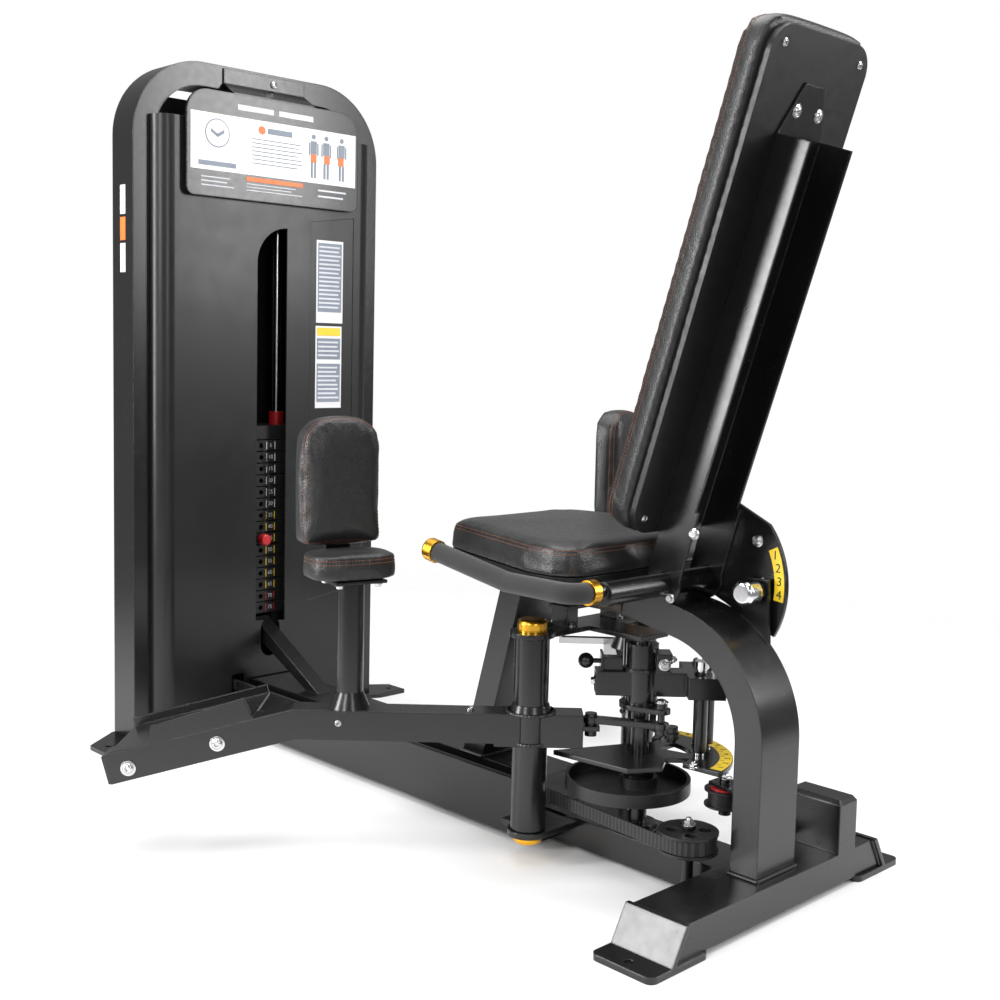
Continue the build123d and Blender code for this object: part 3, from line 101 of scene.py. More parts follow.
def surface(name, base, rough, metal=0.0, alt=None, rough_span=0.1, grain=(900.0, 0.15, 0.0003),
            pattern="noise", edge=None, edge_radius=0.0015, dust=0.0, coat=0.0, stretch=(1, 1, 1),
            patch_scale=9.0, sheen=0.0, crease=0.0, bands=None, fleck=0.0, spec=0.5):
    # Procedural material: patchy colour and roughness, grain bump, rounded edges with lighter colour (partly
    # wear, partly a painted edge highlight), dust, belt ribs with painted light and shade
    material = bpy.data.materials.new(name)
    material.use_nodes = True
    t = material.node_tree
    t.nodes.clear()
    place = node(t, "TexCoord").outputs["Object"]
    stretched = node(t, "Mapping", Vector=place, Scale=stretch).outputs[0]
    patch = node(t, "TexNoise", Vector=place, Scale=patch_scale, Detail=6.0, Roughness=0.6).outputs[0]
    smear = node(t, "TexNoise", Vector=stretched, Scale=patch_scale * 7, Detail=5.0).outputs[0]
    alt = alt or tuple(min(1.0, c * 1.25 + 0.001) for c in base)
    colour = mix(t, ramp(t, patch, 0.35, 0.68, 0.0, 0.8), base, alt)
    roughness = ramp(t, smear, 0.3, 0.7, rough - rough_span / 2, rough + rough_span / 2)
    scale, strength, depth = grain
    if pattern == "leather":
        cells = node(t, "TexVoronoi", {"feature": "SMOOTH_F1"}, Vector=place, Scale=scale).outputs[0]
        fine = node(t, "TexNoise", Vector=place, Scale=scale * 2.2, Detail=3.0).outputs[0]
        height = node(t, "Math", {"operation": "ADD"})
        t.links.new(cells, height.inputs[0])
        t.links.new(ramp(t, fine, 0.0, 1.0, 0.0, 0.35), height.inputs[1])
        grain_height = height.outputs[0]
    else:
        grain_height = node(t, "TexNoise", Vector=stretched, Scale=scale, Detail=3.0).outputs[0]
    normal = node(t, "Bevel", {"samples": 4}, Radius=edge_radius).outputs[0]
    # Lighter colour along rounded edges: real wear on the cast plates; on the paint, board and nylon it is a
    # painted highlight along the edges, with a thin coat there
    if edge:
        flat = node(t, "NewGeometry").outputs["Normal"]
        dot = node(t, "VectorMath", {"operation": "DOT_PRODUCT"})
        t.links.new(normal, dot.inputs[0])
        t.links.new(flat, dot.inputs[1])
        edge_breakup = node(t, "TexNoise", Vector=place, Scale=55.0, Detail=5.0, Roughness=0.7).outputs[0]
        rim = ramp(t, dot.outputs["Value"], 0.995, 0.90, 0.0, 1.0)
        broken = ramp(t, edge_breakup, 0.42, 0.62, 0.1, 1.0)
        both = node(t, "Math", {"operation": "MULTIPLY"})
        t.links.new(rim, both.inputs[0])
        t.links.new(broken, both.inputs[1])
        colour = mix(t, both.outputs[0], colour, edge)
    if dust:
        up = node(t, "SeparateXYZ", Vector=node(t, "NewGeometry").outputs["Normal"]).outputs[2]
        cloud = ramp(t, patch, 0.3, 0.75, 0.2, 1.0)
        lying = node(t, "Math", {"operation": "MULTIPLY"})
        t.links.new(ramp(t, up, 0.6, 1.0, 0.0, dust), lying.inputs[0])
        t.links.new(cloud, lying.inputs[1])
        colour = mix(t, lying.outputs[0], colour, (0.32, 0.31, 0.30))
    if fleck:
        spots = node(t, "TexVoronoi", Vector=place, Scale=260.0).outputs[0]
        colour = mix(t, ramp(t, spots, 0.05, 0.11, fleck, 0.0), colour, (0.4, 0.4, 0.4))
    if crease:
        folds = node(t, "TexNoise", Vector=stretched, Scale=22.0, Detail=4.0, Distortion=0.6).outputs[0]
        normal = node(t, "Bump", Strength=crease, Distance=0.002, Height=folds, Normal=normal).outputs[0]
    if bands:
        along, pitch, band_depth = bands
        split = node(t, "SeparateXYZ", Vector=place).outputs[along]
        turned = node(t, "Math", {"operation": "MULTIPLY"})
        t.links.new(split, turned.inputs[0])
        turned.inputs[1].default_value = 2 * math.pi / pitch
        wave = node(t, "Math", {"operation": "SINE"})
        t.links.new(turned.outputs[0], wave.inputs[0])
        step = ramp(t, wave.outputs[0], -0.25, 0.25, 0.0, 1.0)
        normal = node(t, "Bump", Strength=1.0, Distance=band_depth, Height=step, Normal=normal).outputs[0]
        # Rib crests coloured lighter than the grooves: a painted highlight on the crests and painted shade
        # between them
        colour = mix(t, step, colour, tuple(c * 2.2 + 0.01 for c in base))
    normal = node(t, "Bump", Strength=strength, Distance=depth, Height=grain_height, Normal=normal).outputs[0]
    shader = node(t, "BsdfPrincipled", Base_Color=colour, Roughness=roughness, Metallic=metal, Normal=normal)
    shader.inputs["Coat Weight"].default_value = coat
    shader.inputs["Coat Roughness"].default_value = 0.12
    shader.inputs["Sheen Weight"].default_value = sheen
    shader.inputs["Specular IOR Level"].default_value = spec
    out = t.nodes.new("ShaderNodeOutputMaterial")
    t.links.new(shader.outputs[0], out.inputs[0])
    return material


# Lighter edge colour for the paint, board and nylon: a painted highlight along the edges together with edge
# wear
EDGE_WEAR_AND_HIGHLIGHT = (0.03, 0.03, 0.032)
MATERIALS = {
    "black_paint": surface("powder_coat", (0.0045, 0.0045, 0.0048), 0.25, coat=0.10, edge=EDGE_WEAR_AND_HIGHLIGHT, spec=0.48,
                           grain=(1100.0, 0.10, 0.00015), dust=0.006, edge_radius=0.0035, rough_span=0.05),
    "shroud_paint": surface("shroud_coat", (0.0060, 0.0060, 0.0063), 0.33, edge=EDGE_WEAR_AND_HIGHLIGHT, coat=0.06, spec=0.4,
                            grain=(1500.0, 0.16, 0.0002), dust=0.005, patch_scale=3.0, rough_span=0.06),
    "vinyl": surface("vinyl", (0.0105, 0.0108, 0.0108), 0.35, pattern="leather", spec=0.5,
                     grain=(520.0, 0.7, 0.0006), crease=0.22, sheen=0.04, patch_scale=14.0, rough_span=0.14),
    "chrome": surface("chrome", (0.74, 0.74, 0.76), 0.13, metal=1.0, alt=(0.66, 0.66, 0.68),
                      grain=(500.0, 0.05, 0.0002), stretch=(1, 1, 0.08), edge_radius=0.0008),
    "plate_steel": surface("cast_plate", (0.007, 0.007, 0.0075), 0.48, edge=(0.07, 0.07, 0.07), spec=0.4,
                           grain=(420.0, 0.5, 0.0006), dust=0.03),
    "gold": surface("gold_anodised", (0.93, 0.50, 0.05), 0.27, metal=1.0, alt=(0.85, 0.42, 0.04),
                    grain=(700.0, 0.12, 0.0002), stretch=(0.2, 0.2, 5), edge_radius=0.001),
    "red_rubber": surface("red_moulding", (0.48, 0.012, 0.014), 0.34, alt=(0.40, 0.01, 0.012),
                          grain=(500.0, 0.15, 0.0003), coat=0.2),
    "black_rubber": surface("belt_rubber", (0.007, 0.007, 0.007), 0.6, grain=(800.0, 0.4, 0.0004),
                            bands=(1, 0.008, 0.0012)),
    "foam": surface("grip_foam", (0.011, 0.011, 0.0115), 0.82, grain=(1100.0, 0.9, 0.0006),
                    rough_span=0.06, sheen=0.2),
    "panel_white": surface("panel_print", (0.78, 0.78, 0.79), 0.35, alt=(0.73, 0.73, 0.74),
                           grain=(300.0, 0.05, 0.0002), coat=0.4),
    "board": surface("back_board", (0.0055, 0.0055, 0.006), 0.38, spec=0.4, grain=(520.0, 0.35, 0.0004),
                     edge=EDGE_WEAR_AND_HIGHLIGHT, crease=0.06),
    "nylon": surface("moulded_nylon", (0.009, 0.009, 0.0095), 0.42, grain=(900.0, 0.3, 0.0003), edge=EDGE_WEAR_AND_HIGHLIGHT),
}
STEEL = surface("zinc_bolt", (0.62, 0.62, 0.63), 0.24, metal=1.0, alt=(0.48, 0.48, 0.5),
                grain=(600.0, 0.25, 0.0003), edge_radius=0.0006)
THREAD = surface("thread", (0.26, 0.085, 0.035), 0.7, alt=(0.20, 0.065, 0.03), grain=(2500.0, 0.8, 0.0003))
YELLOW = surface("yellow_print", (0.86, 0.60, 0.02), 0.4, alt=(0.80, 0.55, 0.02), grain=(400.0, 0.05, 0.0002))
ORANGE = surface("orange_print", (0.75, 0.16, 0.03), 0.4, grain=(400.0, 0.05, 0.0002))
INK = surface("ink", (0.012, 0.012, 0.012), 0.5, grain=(400.0, 0.05, 0.0002))
GREY_PRINT = surface("grey_print", (0.20, 0.23, 0.28), 0.45, grain=(400.0, 0.05, 0.0002))
PALE_PRINT = surface("pale_print", (0.62, 0.64, 0.68), 0.4, grain=(400.0, 0.05, 0.0002))
CORD = surface("dark_cord", (0.02, 0.02, 0.021), 0.5, grain=(900.0, 0.5, 0.0004))
WELD = surface("weld_bead", (0.010, 0.010, 0.011), 0.33, grain=(500.0, 0.6, 0.0008), coat=0.2)

for sub in frame["record"]["subparts"]:
    cad = frame["nodes"][sub["node"]]
    cad.data.materials.clear()
    cad.data.materials.append(MATERIALS[sub["material_slot"]])

# ------------------------------------------------------------------ mesh tools
bags = {}


def bag(name, material, body, slot=None):
    # A piece being gathered from many small shapes
    if name not in bags:
        bags[name] = {"v": [], "f": [], "material": material, "body": body, "slot": slot}
    return bags[name]


def put(target, verts, faces):
    start = len(target["v"])
    target["v"].extend(tuple(v) for v in verts)
    target["f"].extend([i + start for i in face] for face in faces)


def basis(axis):
    # Two directions square to an axis
    z = Vector(axis).normalized()
    x = z.orthogonal().normalized()
    return x, z.cross(x), z


def lathe(target, at, axis, profile, count=24, turn=0.0):
    # Turned shape; profile is a list of (radius, height along the axis)
    x, y, z = basis(axis)
    at = Vector(at)
    verts, faces = [], []
    for r, h in profile:
        for k in range(count):
            a = turn + 2 * math.pi * k / count
            verts.append(at + x * (r * math.cos(a)) + y * (r * math.sin(a)) + z * h)
    for i in range(len(profile) - 1):
        for k in range(count):
            n = (k + 1) % count
            faces.append([i * count + k, i * count + n, (i + 1) * count + n, (i + 1) * count + k])
    faces.append(list(range(count))[::-1])
    faces.append([(len(profile) - 1) * count + k for k in range(count)])
    put(target, verts, faces)


def dome_bolt(target, at, axis, r=0.010):
    # Washer, domed head and socket recess
    lathe(target, at, axis, [(r * 1.35, 0), (r * 1.35, 0.0016), (r * 1.2, 0.0020)], 28)
    head = [(r, 0.002), (r, 0.0035), (r * 0.94, r * 0.38), (r * 0.78, r * 0.58), (r * 0.52, r * 0.70),
            (r * 0.46, r * 0.70), (r * 0.44, r * 0.35)]
    lathe(target, at, axis, head, 24)


def hex_bolt(target, at, axis, r=0.010, tall=0.007, stud=0.0):
    # Washer, hexagon and optional stud end
    lathe(target, at, axis, [(r * 1.35, 0), (r * 1.35, 0.0018), (r * 1.25, 0.0022)], 28)
    lathe(target, at, axis, [(r, 0.002), (r, tall), (r * 0.86, tall + 0.0012)], 6)
    if stud:
        lathe(target, at, axis, [(r * 0.5, tall), (r * 0.5, tall + stud), (r * 0.4, tall + stud + 0.001)], 16)


def slab(target, centre, ux, uy, hx, hy, thick):
    # Thin plate centred on a point, thickness outwards along ux x uy
    c, ux, uy = Vector(centre), Vector(ux).normalized(), Vector(uy).normalized()
    n = ux.cross(uy)
    verts = [c + ux * sx * hx + uy * sy * hy + n * h for h in (0, thick)
             for sx, sy in ((-1, -1), (1, -1), (1, 1), (-1, 1))]
    faces = [[3, 2, 1, 0], [4, 5, 6, 7], [0, 1, 5, 4], [1, 2, 6, 5], [2, 3, 7, 6], [3, 0, 4, 7]]
    put(target, verts, faces)


def arc_band(target, centre, ux, uy, r0, r1, a0, a1, thick, steps=40):
    # Flat ring piece in the plane of ux and uy
    c, ux, uy = Vector(centre), Vector(ux), Vector(uy)
    n = ux.cross(uy)
    verts = []
    for k in range(steps + 1):
        a = math.radians(a0 + (a1 - a0) * k / steps)
        d = ux * math.cos(a) + uy * math.sin(a)
        verts += [c + d * r0, c + d * r1, c + d * r1 + n * thick, c + d * r0 + n * thick]
    faces = []
    for k in range(steps):
        b, e = 4 * k, 4 * k + 4
        for i in range(4):
            j = (i + 1) % 4
            faces.append([b + i, b + j, e + j, e + i])
    faces += [[3, 2, 1, 0], [4 * steps + i for i in range(4)]]
    put(target, verts, faces)


def digits(target, text, at, ux, uy, size, thick=0.0003):
    # Plain number as a thin raised print
    curve = bpy.data.curves.new("digits", "FONT")
    curve.body = text
    curve.size = size
    curve.align_x = "CENTER"
    curve.align_y = "CENTER"
    curve.extrude = thick / 2
    holder = bpy.data.objects.new("digits", curve)
    scene.collection.objects.link(holder)
    graph = bpy.context.evaluated_depsgraph_get()
    mesh = bpy.data.meshes.new_from_object(holder.evaluated_get(graph))
    ux, uy = Vector(ux).normalized(), Vector(uy).normalized()
    n = ux.cross(uy)
    verts = [Vector(at) + ux * v.co.x + uy * v.co.y + n * (v.co.z + thick / 2) for v in mesh.vertices]
    put(target, verts, [list(p.vertices) for p in mesh.polygons])
    bpy.data.objects.remove(holder)
    bpy.data.meshes.remove(mesh)


def tube(target, points, radius, count=10, ripple=0.0, pitch=0.006):
    # Round tube along points; ripple swells it along its length like a weld bead
    points = [Vector(p) for p in points]
    verts, faces, run = [], [], 0.0
    for i, p in enumerate(points):
        ahead = points[min(i + 1, len(points) - 1)] - points[max(i - 1, 0)]
        x, y, _ = basis(ahead)
        if i:
            run += (p - points[i - 1]).length
        r = radius * (1 + ripple * math.sin(2 * math.pi * run / pitch))
        verts += [p + x * r * math.cos(2 * math.pi * k / count) + y * r * math.sin(2 * math.pi * k / count)
                  for k in range(count)]
    for i in range(len(points) - 1):
        for k in range(count):
            n = (k + 1) % count
            faces.append([i * count + k, i * count + n, (i + 1) * count + n, (i + 1) * count + k])
    faces.append(list(range(count))[::-1])
    faces.append([(len(points) - 1) * count + k for k in range(count)])
    put(target, verts, faces)


def spaced(points, step, closed=False):
    # Points at an even step along a polyline
    points = [Vector(p) for p in points]
    if closed:
        points.append(points[0])
    made, left = [points[0].copy()], step
    for a, b in zip(points, points[1:]):
        length = (b - a).length
        while length >= left > 0:
            a = a + (b - a) * (left / length)
            length -= left
            made.append(a.copy())
            left = step
        left -= length
    return made


def bead(target, points, radius=0.0035, closed=False):
    tube(target, spaced(points, 0.0012, closed), radius, 8, 0.16)


def build(name, data):
    mesh = bpy.data.meshes.new(name)
    mesh.from_pydata(data["v"], [], data["f"])
    mesh.validate()
    mesh.polygons.foreach_set("use_smooth", [True] * len(mesh.polygons))
    mesh.set_sharp_from_angle(angle=math.radians(32))
    mesh.materials.append(data["material"])
    made = bpy.data.objects.new(name, mesh)
    scene.collection.objects.link(made)
    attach(made, data["body"])
    return made


# ------------------------------------------------------------------ cushions


HELD_BAND = 0.005
CLOTH_FRAMES = 16
CLOTH_STIFFNESS = 25
CLOTH_PRESSURE = 4.0
SMOOTH_PASSES = 3
STITCH_PITCH = 0.0058
SEAM_REACH = 0.03


class Face:
    # Flat working frame: u and v in the face, n out of it
    def __init__(self, origin, u, v):
        self.o, self.u, self.v = Vector(origin), Vector(u).normalized(), Vector(v).normalized()
        self.n = self.u.cross(self.v)

    def at(self, u, v, n=0.0):
        return self.o + self.u * u + self.v * v + self.n * n


def rounded(points, radius, steps=7):
    # Polygon with its corners rounded
    made = []
    for i, p in enumerate(points):
        p = Vector((*p, 0))
        a = Vector((*points[i - 1], 0)) - p
        b = Vector((*points[(i + 1) % len(points)], 0)) - p
        r = min(radius, a.length * 0.48, b.length * 0.48)
        start, end = p + a.normalized() * r, p + b.normalized() * r
        for k in range(steps + 1):
            f = k / steps
            made.append(start * (1 - f) ** 2 + p * (2 * f * (1 - f)) + end * f ** 2)
    return made


def inset(points, by):
    # Closed path moved inwards, for a path that runs anticlockwise
    made = []
    for i, p in enumerate(points):
        ahead = points[(i + 1) % len(points)] - points[i - 1]
        left = Vector((-ahead.y, ahead.x, 0)).normalized()
        made.append(p + left * by)
    return made


def soft_form(face, outline, low, high, shrink, voxel):
    # Closed even mesh of an outline prism, a little smaller than the finished cushion
    ring = inset(outline, shrink)
    verts = [face.at(p.x, p.y, n) for n in (low, high - shrink) for p in ring]
    count = len(ring)
    faces = [list(range(count))[::-1], list(range(count, 2 * count))]
    faces += [[i, (i + 1) % count, count + (i + 1) % count, count + i] for i in range(count)]
    mesh = bpy.data.meshes.new("pad")
    mesh.from_pydata(verts, [], faces)
    pad = bpy.data.objects.new("pad", mesh)
    scene.collection.objects.link(pad)
    remesh = pad.modifiers.new("remesh", "REMESH")
    remesh.mode = "VOXEL"
    remesh.voxel_size = voxel
    graph = bpy.context.evaluated_depsgraph_get()
    even = bpy.data.meshes.new_from_object(pad.evaluated_get(graph))
    pad.modifiers.clear()
    pad.data = even
    return pad


def coords(mesh, attribute="co"):
    flat = np.zeros(len(mesh.vertices) * 3, np.float32)
    mesh.vertices.foreach_get(attribute, flat)
    return flat.reshape(-1, 3).astype(float)


def swell(pad, face, base_n, cap):
    # Pressure cloth held at its base, each point's travel capped
    mesh = pad.data
    rest, normals = coords(mesh), coords(mesh, "normal")
    height = (rest - np.array(face.o)) @ np.array(face.n)
    held = height < base_n + HELD_BAND
    group = pad.vertex_groups.new(name="held")
    group.add([int(i) for i in np.nonzero(held)[0]], 1.0, "REPLACE")
    cloth = pad.modifiers.new("cloth", "CLOTH")
    cloth.settings.quality = 4
    cloth.settings.mass = 0.4
    cloth.settings.tension_stiffness = CLOTH_STIFFNESS
    cloth.settings.compression_stiffness = CLOTH_STIFFNESS
    cloth.settings.use_pressure = True
    cloth.settings.uniform_pressure_force = CLOTH_PRESSURE
    cloth.settings.vertex_group_mass = "held"
    cloth.settings.effector_weights.gravity = 0.0
    for f in range(1, CLOTH_FRAMES + 1):
        scene.frame_set(f)
    graph = bpy.context.evaluated_depsgraph_get()
    evaluated = pad.evaluated_get(graph)
    moved = coords(evaluated.to_mesh())
    evaluated.to_mesh_clear()
    pad.modifiers.clear()
    pad.vertex_groups.clear()
    scene.frame_set(1)
    travel = moved - rest
    length = np.linalg.norm(travel, axis=1)[:, None] + 1e-9
    final = rest + travel * (cap * np.tanh(length / cap) / length)
    mesh.vertices.foreach_set("co", final.astype(np.float32).ravel())
    bm = bmesh.new()
    bm.from_mesh(mesh)
    for _ in range(SMOOTH_PASSES):
        bmesh.ops.smooth_vert(
            bm, verts=bm.verts, factor=0.5, use_axis_x=True, use_axis_y=True, use_axis_z=True)
    bm.to_mesh(mesh)
    bm.free()
    mesh.update()


def tree_of(mesh):
    points = [v.co.copy() for v in mesh.vertices]
    return BVHTree.FromPolygons(points, [list(p.vertices) for p in mesh.polygons])


def seam_on_side(tree, face, path, level):
    # Points and normals of a line round the side at one height
    made = []
    for i, p in enumerate(path):
        ahead = path[(i + 1) % len(path)] - path[i - 1]
        out = Vector((ahead.y, -ahead.x, 0)).normalized()
        start = face.at(p.x + out.x * SEAM_REACH, p.y + out.y * SEAM_REACH, level)
        hit, normal, _, _ = tree.ray_cast(start, -(face.u * out.x + face.v * out.y), 2 * SEAM_REACH)
        if hit:
            made.append((hit, normal))
    return made


def groove(mesh, seam, width=0.006, depth=0.0018):
    # Sinks the surface along a seam
    near = KDTree(len(seam))
    for i, (p, _) in enumerate(seam):
        near.insert(p, i)
    near.balance()
    pulled = []
    for v in mesh.vertices:
        _, i, d = near.find(v.co)
        if d < width:
            pulled.append((v, seam[i][1] * (-depth * (1 - (d / width) ** 2) ** 2)))
    for v, move in pulled:
        v.co += move
    mesh.update()


def stitches(target, seam, lift=0.0003, length=0.0038, thick=0.0006):
    # One short rounded thread at each seam point
    for (a, normal), (b, _) in zip(seam, seam[1:]):
        along = b - a
        if not 0.001 < along.length < 0.02:
            continue
        along.normalize()
        side = along.cross(normal).normalized()
        p = a + normal * lift
        verts, faces = [], []
        for s, r in ((-0.5, 0.3), (-0.3, 1.0), (0.3, 1.0), (0.5, 0.3)):
            dip = -abs(s) * thick
            for k in range(6):
                q = math.pi * k / 3
                verts.append(p + along * (s * length) + normal * (dip + math.sin(q) * r * thick)
                             + side * (math.cos(q) * r * thick))
        for i in range(3):
            for k in range(6):
                n = (k + 1) % 6
                faces.append([i * 6 + k, i * 6 + n, (i + 1) * 6 + n, (i + 1) * 6 + k])
        faces += [list(range(6))[::-1], [18 + k for k in range(6)]]
        put(target, verts, faces)


def finish_pad(pad, name, body, nodes):
    pad.name = name
    mesh = pad.data
    mesh.polygons.foreach_set("use_smooth", [True] * len(mesh.polygons))
    mesh.materials.clear()
    mesh.materials.append(MATERIALS["vinyl"])
    sub = pad.modifiers.new("smooth", "SUBSURF")
    sub.levels = 1
    sub.render_levels = 1
    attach(pad, body)
    if nodes:
        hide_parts(*nodes)


def sewn_pad(name, body, face, outline, base_n, top_n, cap, shrink, voxel, levels, nodes):
    # Swells one cushion, sinks its seams and sews them; returns the pad and its seams
    pad = soft_form(face, outline, base_n, top_n, shrink, voxel)
    swell(pad, face, base_n, cap)
    seams = []
    for level in levels:
        path = spaced(outline, STITCH_PITCH, True)
        seams.append(seam_on_side(tree_of(pad.data), face, path, level))
    for seam in seams:
        groove(pad.data, seam)
    tree = tree_of(pad.data)
    sewn = []
    for seam in seams:
        row = []
        for p, n in seam:
            hit, normal, _, _ = tree.ray_cast(p + n * 0.01, -n, SEAM_REACH)
            if hit:
                row.append((hit, normal))
        sewn.append(row)
    thread = bag(name + "_stitching", THREAD, body)
    for row in sewn:
        stitches(thread, row)
    finish_pad(pad, name, body, nodes)
    return pad, sewn


def mirrored(pad, name, body, nodes, sewn):
    # Right-hand twin of a left-hand cushion
    mesh = pad.data.copy()
    for v in mesh.vertices:
        v.co.x = -v.co.x
    mesh.flip_normals()
    twin = bpy.data.objects.new(name, mesh)
    scene.collection.objects.link(twin)
    finish_pad(twin, name, body, nodes)
    thread = bag(name + "_stitching", THREAD, body)
    flip = Vector((-1, 1, 1))
    for row in sewn:
        stitches(thread, [(p * flip, n * flip) for p, n in row])


# Seat
UP = Vector((0, 0, 1))
seat_face = Face((0, 0, 0.508), (1, 0, 0), (0, 1, 0))
half_seat = [
    (0.190, 0.202), (0.222, 0.216), (0.236, 0.248), (0.236, 0.300), (0.155, 0.565), (0.130, 0.585),
]
seat_points = half_seat + [(-x, y) for x, y in reversed(half_seat)]
seat_outline = rounded(seat_points, 0.024)
sewn_pad(
    "seat_cushion", FRAME_BODY, seat_face, seat_outline, base_n=0.0, top_n=0.0515,
    cap=0.006, shrink=0.005, voxel=0.006, levels=(0.036, 0.042), nodes=("seat_pad",),
)
board = bag("seat_board", MATERIALS["board"], FRAME_BODY, "board")
ring = inset(seat_outline, 0.008)
board_z0, board_z1 = 0.4965, 0.5078
low = [Vector((p.x, p.y, board_z0)) for p in ring]
high = [Vector((p.x, p.y, board_z1)) for p in ring]
count = len(ring)
put(board, low + high, [[i, (i + 1) % count, count + (i + 1) % count, count + i] for i in range(count)]
    + [list(range(count))[::-1], list(range(count, 2 * count))])

# Backrest
lean = math.radians(18)
HINGE = Vector((0, 0.165, 0.490))
back_face = Face(HINGE, (-1, 0, 0), (0, -math.sin(lean), math.cos(lean)))
half_w, half_h, mid = 0.142, 0.4025, 0.4665
back_outline = rounded([(-half_w, mid - half_h), (half_w, mid - half_h), (half_w, mid + half_h),
                        (-half_w, mid + half_h)], 0.062, 12)
sewn_pad(
    "back_cushion", "backrest", back_face, back_outline, base_n=0.053, top_n=0.103,
    cap=0.006, shrink=0.005, voxel=0.007, levels=(0.084, 0.091), nodes=("back_pad",),
)

# Knee cushions: an upright pad and a rest, made on the left and mirrored
arm_a = math.radians(135.73)
ARM_U = Vector((math.cos(arm_a), math.sin(arm_a), 0))
ARM_IN = Vector((math.sin(arm_a), -math.cos(arm_a), 0))
PIVOT = Vector((-0.140, 0.368, 0))
KNEE_POST = 0.301
knee_at = PIVOT + ARM_U * KNEE_POST
knee_turn = math.radians(-14.3)
KNEE_U = Vector((math.cos(knee_turn), math.sin(knee_turn), 0))
knee_pad_face = Face(knee_at, KNEE_U, UP)
pad_points = [
    (-0.083, 0.524), (0.065, 0.524), (0.065, 0.706), (0.050, 0.730), (0.027, 0.742),
    (-0.009, 0.745), (-0.045, 0.742), (-0.068, 0.730), (-0.083, 0.706),
]
pad_outline = rounded(pad_points, 0.018)
knee_pad, knee_sewn = sewn_pad(
    "left_knee_pad", "left_knee", knee_pad_face, pad_outline, base_n=-0.057, top_n=-0.007,
    cap=0.006, shrink=0.005, voxel=0.005, levels=(-0.024, -0.016), nodes=("left_knee_cushions",),
)
mirrored(knee_pad, "right_knee_pad", "right_knee", ("right_knee_cushions",), knee_sewn)
KNEE_V = UP.cross(KNEE_U)
rest_face = Face(knee_at, KNEE_U, KNEE_V)
rest_points = [(-0.083, -0.057), (0.073, -0.057), (0.073, 0.051), (-0.083, 0.051)]
rest_outline = rounded(rest_points, 0.048, 9)
rest_pad, rest_sewn = sewn_pad(
    "left_thigh_rest", "left_knee", rest_face, rest_outline, base_n=0.478, top_n=0.522,
    cap=0.005, shrink=0.004, voxel=0.005, levels=(0.505, 0.511), nodes=(),
)
mirrored(rest_pad, "right_thigh_rest", "right_knee", (), rest_sewn)

# ------------------------------------------------------------------ fasteners
FLIP = Vector((-1, 1, 1))


def both_sides(stem, material, body_stem, draw):
    # Draws the same detail on the left and, mirrored, on the right body
    for side, flip in (("left", Vector((1, 1, 1))), ("right", FLIP)):
        draw(bag(side + "_" + stem, material, side + "_" + body_stem), flip)


def arm_point(s, n, z):
    return PIVOT + ARM_U * s + ARM_IN * n + UP * z


def arm_bolts(target, flip):
    for s, z in ((0.663, 0.152), (0.516, 0.197)):
        dome_bolt(target, arm_point(s, -0.025, z) * flip, -ARM_IN * flip, 0.0095)
    dome_bolt(target, arm_point(0.317, -0.025, 0.236) * flip, -ARM_IN * flip, 0.004)
    dome_bolt(target, arm_point(0.10, 0.0, 0.257) * flip, UP, 0.005)


def arm_welds(target, flip):
    for z, r in ((0.2575, 0.0395), (0.206, 0.0305)):
        bead(target, [(PIVOT + ARM_U * r * math.cos(a) + ARM_IN * r * math.sin(a) + UP * z) * flip
                      for a in np.linspace(0, 2 * math.pi, 60)], 0.0028)
    post = PIVOT + ARM_U * KNEE_POST + UP * 0.258
    ring = [post + ARM_U * 0.0345 * math.cos(a) * 0.72 + ARM_IN * 0.0245 * math.sin(a)
            for a in np.linspace(0, 2 * math.pi, 60)]
    bead(target, [p * flip for p in ring], 0.0025)


def knee_bolts(target, flip):
    for u in (-0.034, 0.034):
        for v in (-0.032, 0.030):
            p = knee_at + KNEE_U * u + KNEE_V * v + UP * 0.470
            hex_bolt(target, p * flip, -UP, 0.006, 0.0055)
    for z in (0.545, 0.640):
        p = knee_at + KNEE_V * 0.063 + UP * z
        dome_bolt(target, p * flip, KNEE_V * flip, 0.0065)


both_sides("arm_bolts", STEEL, "leg_arm", arm_bolts)
both_sides("arm_welds", WELD, "leg_arm", arm_welds)
both_sides("knee_bolts", STEEL, "knee", knee_bolts)

back_bolts = bag("backrest_bolts", STEEL, "backrest")
for x in (-0.028, 0.028):
    dome_bolt(back_bolts, back_face.at(x, 0.741, 0.037), -back_face.n, 0.0075)
for x in (-0.098, 0.098):
    dome_bolt(back_bolts, back_face.at(x, 0.826, 0.041), -back_face.n, 0.0045)
for x in (-0.098, 0.098):
    dome_bolt(back_bolts, back_face.at(x, 0.10, 0.041), -back_face.n, 0.0045)
for side in (-1, 1):
    flange = side * 0.0572 if side < 0 else 0.0572
    if side < 0:
        hex_bolt(back_bolts, (flange, 0.105, 0.577), (side, 0, 0), 0.0068, 0.006)
        hex_bolt(back_bolts, (flange, 0.147, 0.4705), (side, 0, 0), 0.0058, 0.006)
    else:
        hex_bolt(back_bolts, (0.0632, 0.105, 0.577), (side, 0, 0), 0.0068, 0.006)
frame_bolts = bag("frame_bolts", STEEL, FRAME_BODY)
dome_bolt(frame_bolts, (0.022, 1.3625, 1.428), (0, -1, 0), 0.006)
for x in (-0.062, 0.062):
    hex_bolt(frame_bolts, (x, 0.354, 0.392), UP, 0.0065, 0.006)
for y in (0.312, 0.512):
    for x in (-0.110, 0.110):
        hex_bolt(frame_bolts, (x, y, 0.478), -UP, 0.005, 0.005)
drum_nut = bag("drum_nuts", STEEL, FRAME_BODY)
hex_bolt(drum_nut, (-0.075, 0.083, 0.126), UP, 0.0085, 0.007, 0.004)
